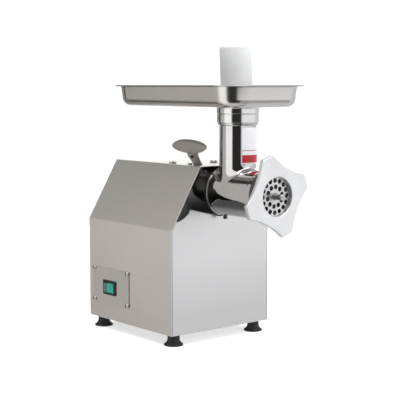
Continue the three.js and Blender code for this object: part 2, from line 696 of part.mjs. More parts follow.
function tray() {
  const rim = roundedRectangle(-TRAY.halfX, TRAY.halfX, TRAY.front, TRAY.back, TRAY.corner);
  return cut(
    join(
      panSolid(0, TRAY.floorZ, TRAY.rimZ),
      prismZ(rim, TRAY.rimZ - TRAY.sheet, TRAY.rimZ, 3),
      latheZ(disc(COLLAR.outer, COLLAR.bottom, TRAY.floorZ + TRAY.sheet / 2), 0, THROAT.y, 28),
    ),
    panSolid(TRAY.sheet, TRAY.floorZ + TRAY.sheet, TRAY.rimZ + 1),
    latheZ(disc(COLLAR.bore, COLLAR.bottom - 1, TRAY.floorZ + 5), 0, THROAT.y, 28),
  );
}

// Pusher: a solid turned bar with rounded ends that leans a little in the wider throat.
function pusher() {
  const { radius, bottom, top, round, leanDeg, leanX, leanY, pivotZ } = PUSHER;
  const end = (z, into) => [[radius - round, z], [radius - round * 0.3, z + into * round * 0.3]];
  const profile = [
    [0, bottom], ...end(bottom, 1), [radius, bottom + round],
    [radius, top - round], ...end(top, -1).reverse(), [0, top],
  ].map(([r, z]) => [r, z - pivotZ]);
  const body = latheGeometry(profile, 24).rotateX(Math.PI / 2);
  const lean = new THREE.Vector3(leanX, leanY, 0).normalize();
  const tilt = THREE.MathUtils.degToRad(leanDeg);
  const axis = new THREE.Vector3(0, 0, 1).cross(lean).normalize();
  return body
    .applyMatrix4(new THREE.Matrix4().makeRotationAxis(axis, tilt))
    .translate(0, THROAT.y, pivotZ);
}

// ---- assembly -----------------------------------------------------------------------------------
const root = new THREE.Group();
function add(name, geometry, look) {
  const mesh = new THREE.Mesh(geometry, look);
  mesh.name = name;
  root.add(mesh);
}

add("housing_shell", housingShell(), brushed);
add("front_panel", frontPanel(), brushed);
add("rear_panel", rearPanel(), brushed);
add("base_plate", basePlate(), steel);
for (const [end, y] of [["front", FOOT.inset], ["rear", HOUSING.depth - FOOT.inset]])
  for (const [side, x] of [["left", -FOOT.x], ["right", FOOT.x]])
    add(`foot_${end}_${side}`, foot(x, y), rubber);
add("switch_plate", switchPlate(), brushed);
plateCorners.forEach(([y, z], i) => add(`plate_screw_${i + 1}`, plateScrew(y, z), steel));
add("switch_body", switchBody(), blackPlastic);
add("rocker", rocker(), greenLens);
COVER_SCREWS.forEach(([x, y, head], i) => add(`cover_screw_${i + 1}`, coverScrew(x, y, head), darkSteel));
add("filler_plug", fillerPlug(), polished);

add("socket_tube", socketTube(), polished);
add("gear_case", gearCase(), castAlloy);
add("chassis_plate", chassisPlate(), steel);
add("output_bearing_front", bearing(AXIS_Z, SHAFT.output, BEARING.outer, 39.5, 51.4), steel);
add("output_bearing_rear", bearing(AXIS_Z, SHAFT.output, BEARING.outer, 60.3, BEARING.back), steel);
add("lay_bush_front", bearing(LAY_Z, SHAFT.lay, SHAFT.bush, 60.3, 70.5), copperRed);
add("lay_bush_rear", bearing(LAY_Z, SHAFT.lay, SHAFT.bush, CHASSIS.y0, CHASSIS.y1), copperRed);

add("output_shaft", outputShaft(), steel);
add("output_gear", gear(STAGE2, STAGE2.gear, 12.8, AXIS_Z, -UP + Math.PI / STAGE2.gear), steel);
add("lay_shaft", latheY(disc(SHAFT.lay, 60.6, 120.6), LAY_Z, 16), steel);
add("lay_pinion", gear(STAGE2, STAGE2.pinion, 8.3, LAY_Z, UP, 0.5), steel);
add("lay_gear", gear(STAGE1, STAGE1.gear, 8.3, LAY_Z, -UP + Math.PI / STAGE1.gear), steel);
add("motor_pinion", gear(STAGE1, STAGE1.pinion, 5.8, MOTOR_Z, UP, 0.5), steel);

add("motor_front_bell", motorBell(MOTOR.front, 131), castAlloy);
const laminations = ring(MOTOR.rotor + 0.6, MOTOR.radius, MOTOR.core0, MOTOR.core1);
add("stator", latheY(laminations, MOTOR_Z, 26), darkSteel);
add("motor_rear_bell", motorBell(MOTOR.core1 + GAP, MOTOR.back), castAlloy);
add("motor_bearing_front", bearing(MOTOR_Z, SHAFT.motor, 15, MOTOR.front + 1.8, 131), steel);
add("motor_bearing_rear", bearing(MOTOR_Z, SHAFT.motor, 15, MOTOR.core1 + 2.1, MOTOR.back), steel);
add("motor_shaft", motorShaft(), steel);
add("rotor_core", latheY(ring(7.3, MOTOR.rotor, 135, 190), MOTOR_Z, 20), darkSteel);
add("cooling_fan", fan(), blackPlastic);
add("fan_cowl", fanCowl(), darkSteel);
const { x0: capStart, x1: capEnd, radius: capRadius, y: capY, z: capZ } = CAPACITOR;
add("start_capacitor", latheX(disc(capRadius, capStart, capEnd), capY, capZ, 20), whitePlastic);
add("capacitor_clip", capacitorClip(), steel);
add("terminal_block", terminalBlock(), whitePlastic);
add("cable_gland", cableGland(), blackPlastic);
add("gland_nut", glandNut(), blackPlastic);

add("clamp_screw", clampAxis(CLAMP.screw, CLAMP.tip, CLAMP.end), steel);
add("clamp_handle", clampHandle(), greyPlastic);

add("head_casting", headCasting(), polished);
add("head_o_ring", oRing(), rubber);
add("locating_screw", locatingScrew(), darkSteel);
add("cutting_plate", cuttingPlate(), steel);
add("plate_key", latheY(disc(PLATE.key, PLATE.front + 1, HEAD.mouth + 5.5), AXIS_Z - PLATE.radius, 8), steel);
add("auger", auger(), steel);
const stud = [
  [0, STUD.tip], [STUD.radius - 1, STUD.tip], [STUD.radius, STUD.tip + 1],
  [STUD.radius, STUD.back], [0, STUD.back],
];
add("auger_stud", latheY(stud, AXIS_Z, 12), steel);
add("knife", knife(), steel);
add("ring_nut", ringNut(), satinCast);
const ringFront = NUT.front + NUT.lip + GAP;
add("thrust_ring", latheY(ring(33, NUT.bore - 0.4, ringFront, ringFront + 0.8), AXIS_Z, 24), whitePlastic);
add("feed_tray", tray(), brushed);
add("pusher", pusher(), whitePlastic);

// The origin of the finished part: the middle of its box, on the table.
const box = new THREE.Box3().setFromObject(root);
const middle = box.getCenter(new THREE.Vector3());
root.position.set(-middle.x, -middle.y, -box.min.z);

export default root;
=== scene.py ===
import math

import bmesh
import bpy
from mathutils import Matrix, Vector


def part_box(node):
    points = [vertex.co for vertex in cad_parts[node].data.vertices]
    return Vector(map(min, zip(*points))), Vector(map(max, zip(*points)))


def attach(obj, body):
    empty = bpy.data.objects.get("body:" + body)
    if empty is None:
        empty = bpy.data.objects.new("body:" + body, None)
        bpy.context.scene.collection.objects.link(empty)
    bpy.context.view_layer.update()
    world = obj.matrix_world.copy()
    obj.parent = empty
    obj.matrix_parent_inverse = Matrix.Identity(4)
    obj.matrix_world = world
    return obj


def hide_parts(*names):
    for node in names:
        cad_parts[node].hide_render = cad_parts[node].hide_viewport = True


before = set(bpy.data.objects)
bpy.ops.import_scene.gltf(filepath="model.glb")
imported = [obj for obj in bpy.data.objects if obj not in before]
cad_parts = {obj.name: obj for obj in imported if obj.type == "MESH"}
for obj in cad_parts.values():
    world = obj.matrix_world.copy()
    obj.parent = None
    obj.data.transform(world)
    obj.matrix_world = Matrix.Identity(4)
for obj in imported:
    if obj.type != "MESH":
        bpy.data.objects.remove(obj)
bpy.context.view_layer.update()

# ---- working frame ----
# Shapes below are in millimetres: x from the auger's axis, y from the housing's front edge, z from the table.
MM = 0.001
stud_low, stud_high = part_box("auger_stud")
ORIGIN = Vector(((stud_low.x + stud_high.x) / 2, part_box("housing_shell")[0].y, 0))
TO_FRAME = Matrix.Translation(ORIGIN) @ Matrix.Scale(MM, 4)


def span(node):
    """Lowest and highest corner of a CAD node in millimetres."""
    return [(corner - ORIGIN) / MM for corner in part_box(node)]


def middle_of(node):
    """Middle of a CAD node's box in millimetres."""
    low, high = span(node)
    return (low + high) / 2


# ---- driving dimensions, from the CAD boxes where a box holds them ----
AXIS_Z = (stud_low.z + stud_high.z) / 2 / MM
GAP = 0.3  # clearance between neighbouring parts
SHEET = 1.5  # thickness of the housing's sheet
HALF = span("housing_shell")[1].x
DEPTH = span("housing_shell")[1].y
BOTTOM = span("housing_shell")[0].z
TOP = span("housing_shell")[1].z
FOLD, RUN = 191, 60  # height where the walls fold inwards, and how far in they lean
BARREL = span("socket_tube")[1].x
SOCKET_FRONT, SOCKET_BACK = span("socket_tube")[0].y, span("socket_tube")[1].y
MOUTH, SPIGOT_BACK = span("head_casting")[0].y, span("head_casting")[1].y
THREAD = span("head_casting")[1].x
THROAT_TOP = span("head_casting")[1].z
SHOULDER, THREAD_BACK, SPIGOT = -8.5, -104, 32.9  # places along the head, and the spigot's radius
THROAT_Y, THROAT, THROAT_BORE, BEAD_Z = -41, 30.6, 28, 360.5  # the throat's place, radii and bead height
CHAMBER, NECK = 34, 28  # radii inside the barrel
PLATE_FRONT, PLATE_BACK = span("cutting_plate")[0].y, span("cutting_plate")[1].y
PLATE = span("cutting_plate")[1].x
STUD_TIP, STUD = span("auger_stud")[0].y, span("auger_stud")[1].x
NUT_FRONT, NUT_BACK = span("ring_nut")[0].y, span("ring_nut")[1].y
CLAMP_Y, CLAMP_LEAN = 30, math.radians(31)
SWITCH_Y, SWITCH_Z = middle_of("switch_body").yz


# ---- mesh tools ----
MOST_OF_HALF = 0.48  # an arc may take this share of the shorter side at its corner
NEARLY_STRAIGHT = math.radians(89)
MERGE = 0.002
SMALLEST_RADIUS = 0.001


def rounded(points, radii, closed=True, steps=5):
    """The outline with its corners turned into arcs. radii is one radius or one for each point."""
    points = [Vector(p) for p in points]
    count = len(points)
    radii = list(radii) if hasattr(radii, "__len__") else [radii] * count
    out = []
    for i, (corner, radius) in enumerate(zip(points, radii)):
        if radius <= 0 or (not closed and i in (0, count - 1)):
            out.append(corner.copy())
            continue
        before = points[i - 1] - corner
        after = points[(i + 1) % count] - corner
        longest = MOST_OF_HALF * min(before.length, after.length)
        before.normalize()
        after.normalize()
        half = before.angle(after) / 2
        if half > NEARLY_STRAIGHT:
            out.append(corner.copy())
            continue
        reach = min(radius / math.tan(half), longest)
        radius = reach * math.tan(half)
        centre = corner + (before + after).normalized() * (radius / math.sin(half))
        start = corner + before * reach - centre
        end = corner + after * reach - centre
        turn = math.atan2(start.x * end.y - start.y * end.x, start.dot(end))
        for k in range(steps + 1):
            out.append(centre + Matrix.Rotation(turn * k / steps, 2) @ start)
    return out


def around(count, start=0.0):
    """Angles evenly spaced round a full turn."""
    return [start + i * math.tau / count for i in range(count)]


def circle(x, y, radius, sides=32):
    return [Vector((x + radius * math.cos(a), y + radius * math.sin(a))) for a in around(sides)]


def hollow_curve(start, pull, end, steps):
    """Points from start to end on a curve that bends towards pull."""
    shares = [k / steps for k in range(steps + 1)]
    return [start * (1 - t) ** 2 + pull * 2 * t * (1 - t) + end * t * t for t in shares]


def box_outline(x0, x1, y0, y1, radius=0.0, steps=5):
    return rounded([(x0, y0), (x1, y0), (x1, y1), (x0, y1)], radius, steps=steps)


def loft(bm, loops, cap_first=False, cap_last=False, closed=False):
    """Quads between loops of the same length, which close on themselves."""
    rings = [[bm.verts.new(p) for p in loop] for loop in loops]
    pairs = list(zip(rings, rings[1:])) + ([(rings[-1], rings[0])] if closed else [])
    for a, b in pairs:
        for i in range(len(a)):
            j = (i + 1) % len(a)
            bm.faces.new((a[i], a[j], b[j], b[i]))
    for wanted, ring in ((cap_first, rings[0]), (cap_last, rings[-1])):
        if wanted:
            bm.faces.new(ring)
    return rings


TURN = {
    "X": lambda r, a, h: (h, r * math.cos(a), r * math.sin(a)),
    "Y": lambda r, a, h: (r * math.cos(a), h, r * math.sin(a)),
    "Z": lambda r, a, h: (r * math.cos(a), r * math.sin(a), h),
}


def lathe(bm, profile, axis="Z", at=(0, 0, 0), sides=64, closed=False):
    """Turns a profile of (radius, height) points about an axis. A profile that isn't closed is capped."""
    at = Vector(at)
    loops = [[at + Vector(TURN[axis](max(r, SMALLEST_RADIUS), a, h)) for a in around(sides)]
             for r, h in profile]
    loft(bm, loops, not closed, not closed, closed)
    return bm


def turned(*shape, **options):
    """A new mesh with one turned profile."""
    return lathe(bmesh.new(), *shape, **options)


def rod(radius, start, end, x=0, y=0, sides=36):
    """A plain cylinder along Z, or a prism if it has few sides. It mostly serves to drill with."""
    return turned([(radius, start), (radius, end)], "Z", (x, y, 0), sides)


def auger_ring(bm, profile, sides=112):
    """Turns a closed profile about the auger's axis."""
    return lathe(bm, profile, "Y", (0, 0, AXIS_Z), sides, closed=True)


def plate(bm, outlines, thickness, bevel, matrix, fineness=2):
    """A flat plate with holes and rounded edges. The first outline is the outer one."""
    curve = bpy.data.curves.new("plate", "CURVE")
    curve.dimensions = "2D"
    curve.fill_mode = "BOTH"
    for outline in outlines:
        spline = curve.splines.new("POLY")
        spline.points.add(len(outline) - 1)
        for point, co in zip(spline.points, outline):
            point.co = (co[0], co[1], 0, 1)
        spline.use_cyclic_u = True
    curve.extrude = thickness / 2 - bevel
    curve.bevel_depth = bevel
    curve.bevel_resolution = fineness
    curve.offset = -bevel
    absorbed(bm, linked("plate", curve), matrix)
    bpy.data.curves.remove(curve)
    return bm


def moved(x, y, z):
    return Matrix.Translation((x, y, z))


def placed(bm, matrix):
    bmesh.ops.transform(bm, matrix=matrix, verts=bm.verts)
    return bm


def facing_y(y0, y1):
    """Stands a plate drawn in (x, z) upright between y0 and y1."""
    return moved(0, (y0 + y1) / 2, 0) @ Matrix.Rotation(math.pi / 2, 4, "X")


def facing_x(x0, x1):
    """Stands a plate drawn in (y, z) upright between x0 and x1."""
    turn = Matrix(((0, 0, 1, 0), (1, 0, 0, 0), (0, 1, 0, 0), (0, 0, 0, 1)))
    return moved((x0 + x1) / 2, 0, 0) @ turn


def lying(z0, z1):
    """Lays a plate drawn in (x, y) flat between z0 and z1."""
    return moved(0, 0, (z0 + z1) / 2)


def block(bm, matrix):
    """Adds a unit cube put through a matrix."""
    verts = bmesh.ops.create_cube(bm, size=1)["verts"]
    bmesh.ops.transform(bm, matrix=matrix, verts=verts)
    return bm


def linked(name, data):
    """A new object in the scene."""
    obj = bpy.data.objects.new(name, data)
    bpy.context.scene.collection.objects.link(obj)
    return obj


def absorbed(bm, holder, matrix=Matrix.Identity(4)):
    """Adds an object's evaluated mesh to bm and deletes the object."""
    bpy.context.view_layer.update()
    mesh = bpy.data.meshes.new_from_object(holder.evaluated_get(bpy.context.evaluated_depsgraph_get()))
    mesh.transform(matrix)
    bm.from_mesh(mesh)
    bpy.data.objects.remove(holder)
    bpy.data.meshes.remove(mesh)
    return bm


def object_of(bm, name):
    mesh = bpy.data.meshes.new(name)
    bmesh.ops.recalc_face_normals(bm, faces=bm.faces)
    bm.to_mesh(mesh)
    return linked(name, mesh)


def modified(bm, kind, **settings):
    """The mesh with one modifier applied."""
    holder = object_of(bm, "holder")
    modifier = holder.modifiers.new("step", kind)
    for key, value in settings.items():
        setattr(modifier, key, value)
    return absorbed(bmesh.new(), holder)


def drilled(bm, cutter):
    """bm with the cutter's solid taken out."""
    tool = object_of(cutter, "cutter")
    out = modified(bm, "BOOLEAN", operation="DIFFERENCE", solver="EXACT", object=tool)
    bpy.data.objects.remove(tool)
    return out


def piece(name, bm, body, material, replaces=(), smooth=32):
    """Turns a mesh in millimetres into a finished piece that rides on a CAD body."""
    bmesh.ops.remove_doubles(bm, verts=bm.verts, dist=MERGE)
    bmesh.ops.recalc_face_normals(bm, faces=bm.faces)
    placed(bm, TO_FRAME)
    for face in bm.faces:
        face.smooth = True
    mesh = bpy.data.meshes.new(name)
    bm.to_mesh(mesh)
    bm.free()
    mesh.set_sharp_from_angle(angle=math.radians(smooth))
    mesh.materials.append(material)
    obj = linked(name, mesh)
    flat = obj.modifiers.new("flat_faces", "WEIGHTED_NORMAL")
    flat.keep_sharp = True
    flat.weight = 80
    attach(obj, body)
    if replaces:
        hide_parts(*replaces)
    return obj


# ---- material tools ----
def mix_colors(tree, factor, first, second):
    """Mixes two colours in a node tree by a factor from 0 to 1. Either may be a socket."""
    node = tree.nodes.new("ShaderNodeMix")
    node.data_type = "RGBA"
    tree.links.new(factor, node.inputs["Factor"])
    for key, color in (("A", first), ("B", second)):
        socket = [s for s in node.inputs if s.name == key and s.type == "RGBA"][0]
        if isinstance(color, bpy.types.NodeSocket):
            tree.links.new(color, socket)
        else:
            socket.default_value = (*color, 1)
    return [s for s in node.outputs if s.type == "RGBA"][0]


class Look:
    """A node material round one Principled shader, with textures in the part's own frame, in metres."""

    def __init__(self, name, color, metallic, roughness, **sockets):
        self.material = bpy.data.materials.new(name)
        self.material.use_nodes = True
        self.nodes = self.material.node_tree.nodes
        self.links = self.material.node_tree.links
        self.shader = self.nodes["Principled BSDF"]
        self.color = color
        self.roughness = roughness
        self.shader.inputs["Base Color"].default_value = (*color, 1)
        self.shader.inputs["Metallic"].default_value = metallic
        self.shader.inputs["Roughness"].default_value = roughness
        for key, value in sockets.items():
            self.shader.inputs[key.replace("_", " ")].default_value = value
        self.coordinates = self.nodes.new("ShaderNodeTexCoord").outputs["Object"]
        self.height = None

    def noise(self, scale, detail=3.0, distortion=0.0):
        """Noise with a scale for each axis, in cycles per metre."""
        mapping = self.nodes.new("ShaderNodeMapping")
        mapping.inputs["Scale"].default_value = scale if hasattr(scale, "__len__") else (scale,) * 3
        texture = self.nodes.new("ShaderNodeTexNoise")
        texture.inputs["Scale"].default_value = 1
        texture.inputs["Detail"].default_value = detail
        texture.inputs["Roughness"].default_value = 0.55
        texture.inputs["Distortion"].default_value = distortion
        self.links.new(self.coordinates, mapping.inputs["Vector"])
        self.links.new(mapping.outputs["Vector"], texture.inputs["Vector"])
        return texture.outputs["Fac"]

    def spread(self, value, low, high, from_low=0.3, from_high=0.7):
        """Maps a noise value onto a range."""
        node = self.nodes.new("ShaderNodeMapRange")
        limits = {"From Min": from_low, "From Max": from_high, "To Min": low, "To Max": high}
        for key, number in limits.items():
            node.inputs[key].default_value = number
        self.links.new(value, node.inputs["Value"])
        return node.outputs["Result"]

    def blend(self, factor, first, second):
        """Mixes two colours by a value from 0 to 1."""
        return mix_colors(self.material.node_tree, factor, first, second)

    def tint(self, value, amount, source=None):
        """Lets the colour drift by a share of itself. A colour that comes from a node only darkens."""
        base = source if source is not None else self.color
        if isinstance(base, bpy.types.NodeSocket):
            mixed = self.blend(self.spread(value, 0, amount), base, (0.02, 0.02, 0.02))
        else:
            dark = [c * (1 - amount) for c in base]
            light = [min(1, c * (1 + amount)) for c in base]
            mixed = self.blend(self.spread(value, 0, 1), dark, light)
        self.links.new(mixed, self.shader.inputs["Base Color"])
        return mixed

    def gloss(self, value, amount):
        """Lets the roughness drift up and down by an amount."""
        self.links.new(self.spread(value, max(0.02, self.roughness - amount), self.roughness + amount),
                       self.shader.inputs["Roughness"])

    def by_height(self, low, high, stops, interpolation="LINEAR"):
        """Colours by height between two heights in millimetres, as (share of the way up, colour) stops."""
        separate = self.nodes.new("ShaderNodeSeparateXYZ")
        self.links.new(self.coordinates, separate.inputs[0])
        ramp = self.nodes.new("ShaderNodeValToRGB")
        ramp.color_ramp.interpolation = interpolation
        for index, (position, color) in enumerate(stops):
            stop = ramp.color_ramp.elements[index] if index < 2 else ramp.color_ramp.elements.new(position)
            stop.position = position
            stop.color = (*color, 1)
        self.links.new(self.spread(separate.outputs["Z"], 0, 1, low * MM, high * MM), ramp.inputs["Fac"])
        return ramp.outputs["Color"]

    def bump(self, value, distance, strength=1.0):
        """Adds fine relief, with its depth in metres. Calls add up."""
        node = self.nodes.new("ShaderNodeBump")
        node.inputs["Distance"].default_value = distance
        node.inputs["Strength"].default_value = strength
        self.links.new(value, node.inputs["Height"])
        if self.height is not None:
            self.links.new(self.height, node.inputs["Normal"])
        self.height = node.outputs["Normal"]
        self.links.new(self.height, self.shader.inputs["Normal"])


def brushed(name, color, roughness, grain, fine=1900, drift=0.04, painted_shade=()):
    """Satin sheet with a fine grain.

    A 1 in grain marks an axis across it. The last argument paints shade onto the sheet: it darkens the sheet
    by height, in millimetres.
    """
    look = Look(name, color, 1, roughness)
    lines = look.noise([fine if g else 28 for g in grain], detail=4)
    base = None
    if painted_shade:
        low, high = painted_shade[0][0], painted_shade[-1][0]
        base = look.by_height(low, high, [((z - low) / (high - low), [c * share for c in color])
                                          for z, share in painted_shade])
    look.tint(look.noise(9, detail=2), drift, base)
    look.gloss(lines, 0.03)
    look.bump(lines, 0.000003)
    look.bump(look.noise(14, detail=1), 0.00012, 0.25)
    return look.material


def polished(name, color, roughness, wave=0.00016):
    """Hand-polished casting: nearly a mirror, with soft waves and faint scratches."""
    look = Look(name, color, 1, roughness)
    waves = look.noise(32, detail=2)
    scratches = look.noise((260, 2600, 700), detail=4, distortion=0.4)
    look.tint(look.noise(18, detail=3), 0.05)
    look.gloss(scratches, roughness * 0.55)
    look.bump(waves, wave, 0.6)
    look.bump(scratches, 0.0000015)
    return look.material


def cast(name, color, metallic, roughness, grain=0.00005, scale=900, drift=0.06):
    """Blasted or tumbled casting with a fine even grain."""
    look = Look(name, color, metallic, roughness)
    look.tint(look.noise(24, detail=4), drift)
    look.gloss(look.noise(140, detail=3), 0.05)
    look.bump(look.noise(scale, detail=3), grain)
    look.bump(look.noise(45, detail=2), 0.0002, 0.3)
    return look.material


def moulded(name, color, roughness, grain=0.00002, scale=1500, drift=0.08, **sockets):
    """Moulded plastic or rubber with a fine texture."""
    look = Look(name, color, 0, roughness, **sockets)
    look.tint(look.noise(30, detail=3), drift)
    look.gloss(look.noise(200, detail=3), 0.05)
    look.bump(look.noise(scale, detail=2), grain)
    return look.material


def machined(name, color, roughness):
    """Turned or ground steel with an oily drift in its shine."""
    look = Look(name, color, 1, roughness)
    grain = (2400, 300, 2400)
    look.tint(look.noise(60, detail=4), 0.12)
    look.gloss(look.noise(grain, detail=3), 0.07)
    look.bump(look.noise(grain, detail=3), 0.000004)
    return look.material


# Painted shade: the housing's sheet is darker towards the bottom of its walls and over the sloping top above
# the fold.
HOUSING_STEEL = brushed("housing_steel", (0.90, 0.87, 0.84), 0.40, (1, 1, 0),
                        painted_shade=[(40, 0.88), (150, 1), (189, 1), (193, 0.90), (290, 0.80)])
# Painted shade: the front panel's sheet darkens towards its bottom.
FRONT_STEEL = brushed("front_steel", (0.75, 0.75, 0.755), 0.32, (1, 1, 0), painted_shade=[(50, 0.86), (140, 1)])
SWITCH_STEEL = brushed("switch_plate_steel", (0.73, 0.71, 0.69), 0.42, (1, 0, 1))
# Painted shade: the pan's rolled rim above 421.5 mm is darker, standing in for a dark reflection there.
TRAY_STEEL = brushed("tray_steel", (0.67, 0.655, 0.64), 0.22, (0, 0, 1), fine=900,
                     painted_shade=[(420, 1), (421.5, 0.7)])
COLLAR_STEEL = brushed("collar_steel", (0.72, 0.715, 0.71), 0.12, (0, 0, 1), fine=700)
PLAIN_STEEL = brushed("plain_steel", (0.6, 0.6, 0.6), 0.45, (1, 0, 1))
SCREW_STEEL = machined("fastener_steel", (0.55, 0.54, 0.52), 0.28)
BLACK_OXIDE = moulded("black_oxide", (0.02, 0.02, 0.021), 0.22, grain=0.000004, Coat_Weight=0.5)
PLUG_METAL = machined("plated_brass", (0.72, 0.7, 0.67), 0.18)
POLISHED = polished("polished_alloy", (0.64, 0.635, 0.63), 0.06)
NUT_ALLOY = cast("star_nut_alloy", (0.80, 0.805, 0.815), 0.9, 0.36, grain=0.00003)
# Painted shade: the nut's skirt is painted near black, standing in for the shade in the gap round it.
SKIRT_PAINTED_SHADE = cast("nut_skirt_painted_shade", (0.10, 0.10, 0.102), 0.8, 0.5)
CASE_ALLOY = cast("cast_alloy", (0.55, 0.55, 0.555), 0.6, 0.55)
AUGER_ALLOY = cast("auger_alloy", (0.5, 0.5, 0.5), 1, 0.35)
PLATE_STEEL = machined("plate_steel", (0.66, 0.66, 0.66), 0.34)
# Painted shade: the knife is painted near black, standing in for the shade inside the head seen through the
# plate's holes.
KNIFE_PAINTED_SHADE = machined("knife_painted_shade", (0.16, 0.16, 0.16), 0.4)
SHAFT_STEEL = machined("machined_steel", (0.45, 0.45, 0.46), 0.3)
BRONZE = machined("bronze", (0.5, 0.32, 0.15), 0.4)
LAMINATIONS = cast("motor_laminations", (0.05, 0.045, 0.045), 0.6, 0.5)
COWL = moulded("painted_cowl", (0.02, 0.02, 0.022), 0.4)
FOOT_RUBBER = moulded("foot_rubber", (0.013, 0.013, 0.014), 0.62, grain=0.00004, scale=1100)
SEAL_RUBBER = moulded("seal_rubber", (0.006, 0.006, 0.006), 0.42)
BLACK_PLASTIC = moulded("black_plastic", (0.008, 0.008, 0.009), 0.4)
WHITE_PLASTIC = moulded("capacitor_white", (0.7, 0.7, 0.67), 0.4)
RING_PLASTIC = moulded("ring_white", (0.75, 0.75, 0.73), 0.4)
HANDLE_PAINT = cast("handle_grey", (0.24, 0.225, 0.21), 0.25, 0.46, grain=0.00006, scale=700)
PUSHER_PLASTIC = moulded("pusher_plastic", (0.60, 0.61, 0.615), 0.5, grain=0.000012, scale=500, drift=0.03,
                         Subsurface_Weight=0.1, Subsurface_Scale=0.01, IOR=1.25)


def lens_material():
    """Green lens with painted shade and light: darker towards one side and brighter towards the other, as the
    tilted rocker's two halves catch the light, with fine moulded ribs and a clear gloss.
    """
    look = Look("rocker_green", (0.0, 0.22, 0.16), 0, 0.18, Coat_Weight=0.6, Coat_Roughness=0.05)
    separate = look.nodes.new("ShaderNodeSeparateXYZ")
    look.links.new(look.coordinates, separate.inputs[0])
    # Painted shade and light: the colour runs from dark to bright green along y, across the rocker's pin.
    middle = ORIGIN.y + SWITCH_Y * MM
    side = look.spread(separate.outputs["Y"], 1, 0, middle - 0.002, middle + 0.004)
    body = look.blend(side, (0.0, 0.07, 0.055), (0.012, 0.40, 0.29))
    look.links.new(look.blend(look.spread(look.noise(150), 0, 0.35), body, (0.0, 0.12, 0.09)),
                   look.shader.inputs["Base Color"])
    look.bump(look.noise((400, 2200, 400), detail=1), 0.00003)
    return look.material


LABEL_LOW, LABEL_HIGH = 298, 356  # the label's lower and upper edge


def label_material():
    """White film with a plain red band low down and a thin red rule above it."""
    white, red = (0.70, 0.69, 0.72), (0.42, 0.03, 0.035)
    look = Look("label_white", white, 0, 0.3, IOR=1.3)
    stops = [(0.0, white), (0.035, red), (0.25, white), (0.36, red), (0.38, white)]
    look.tint(look.noise(90, detail=3), 0.04, look.by_height(LABEL_LOW, LABEL_HIGH, stops, "CONSTANT"))
    look.bump(look.noise(600), 0.000008)
    return look.material


# ---- housing ----
SLOPE = math.hypot(RUN, TOP - FOLD)
SLOPE_NORMAL = ((TOP - FOLD) / SLOPE, RUN / SLOPE)


def slope_x(z, inset=0.0):
    """Half width of the housing at a height above the fold."""
    return HALF - (inset + SLOPE_NORMAL[1] * (z - FOLD)) / SLOPE_NORMAL[0]


def fold_height(inset):
    """Height of the fold on an outline set in from the housing's outside."""
    return FOLD + inset * (SLOPE_NORMAL[0] - 1) / SLOPE_NORMAL[1]


def section(inset, radius):
    """The housing's section, from its lower right corner over the top to its lower left corner."""
    crest = (slope_x(TOP - inset, inset), TOP - inset)
    right = [(HALF - inset, BOTTOM), (HALF - inset, fold_height(inset)), crest]
    points = right + [(-x, z) for x, z in reversed(right)]
    return rounded(points, [0, radius, radius, radius, radius, 0], closed=False, steps=6)


def along_clamp(bm):
    """Moves a shape drawn round the Z axis onto the clamp screw's axis."""
    return placed(bm, moved(0, CLAMP_Y, AXIS_Z) @ Matrix.Rotation(-CLAMP_LEAN, 4, "Y"))


def housing():
    outer_bend, inner_bend, clamp_hole = 3.2, 1.7, 9
    outline = section(0, outer_bend) + list(reversed(section(SHEET, inner_bend)))
    bm = plate(bmesh.new(), [outline], DEPTH, 0.55, facing_y(0, DEPTH))
    bm = drilled(bm, along_clamp(rod(clamp_hole, 44, 62, sides=48)))
    piece("housing_shell_sheet", bm, "housing", HOUSING_STEEL, ["housing_shell"])


def front_panel():
    """Shoulders just above the fold, then two crests with a wide notch between them for the socket."""
    inset = SHEET + GAP
    half, fold = HALF - inset, fold_height(inset)
    shoulder, crest, crest_x = 204, 223.5, 67
    notch = BARREL + 2.6
    drop = AXIS_Z - crest
    start = -math.atan2(drop, crest_x) - math.acos(notch / math.hypot(crest_x, drop))
    steps = 28
    angles = [start - t * (math.pi + 2 * start) / steps for t in range(steps + 1)]
    arc = [(notch * math.cos(a), AXIS_Z + notch * math.sin(a)) for a in angles]
    corner = Vector((slope_x(shoulder, inset), shoulder))
    swoop = hollow_curve(corner, Vector((crest_x + 1, 210)), Vector((crest_x, crest)), 10)
    mirrored = [(-p.x, p.y) for p in reversed(swoop)]
    outline = [(-half, BOTTOM), (half, BOTTOM), (half, fold), *swoop, *arc, *mirrored, (-half, fold)]
    bm = plate(bmesh.new(), [outline], SHEET, 0.45, facing_y(0, SHEET))
    piece("front_panel_sheet", bm, "housing", FRONT_STEEL, ["front_panel"])


def rear_panel():
    columns, rows, lowest, pitch, half_width, height = (-38, 38), 7, 104, 13, 26, 5
    vents = []
    for x in columns:
        for row in range(rows):
            z = lowest + row * pitch
            vents.append(box_outline(x - half_width, x + half_width, z, z + height, 2.3))
    gland = middle_of("cable_gland")
    outlines = [section(SHEET + GAP, 2), circle(gland.x, gland.z, 9.3), *vents]
    bm = plate(bmesh.new(), outlines, SHEET, 0.3, facing_y(DEPTH - SHEET, DEPTH))
    piece("rear_panel_sheet", bm, "housing", HOUSING_STEEL, ["rear_panel"])


def cable_gland():
    """Flanged gland with grip ribs round its collar."""
    gland = middle_of("cable_gland")
    cord, stem, flange, inner_end, ribs = 4, 9, 12.5, 222, 16
    wall = DEPTH + GAP
    collar = rounded([(stem, wall), (flange, wall), (flange, wall + 5), (9.5, wall + 6), (8, wall + 13),
                      (cord, wall + 13)], 0.7, closed=False, steps=3)
    profile = [(cord, inner_end), (stem, inner_end), (stem, wall)] + collar[1:]
    bm = turned(profile, "Y", (gland.x, 0, gland.z), 48, closed=True)
    rib = moved(12.1, 0, 0) @ Matrix.Diagonal((0.9, 4, 1.3, 1))
    for angle in around(ribs):
        block(bm, moved(gland.x, wall + 2.6, gland.z) @ Matrix.Rotation(angle, 4, "Y") @ rib)
    piece("cable_gland_ribbed", bm, "housing", BLACK_PLASTIC, ["cable_gland"])


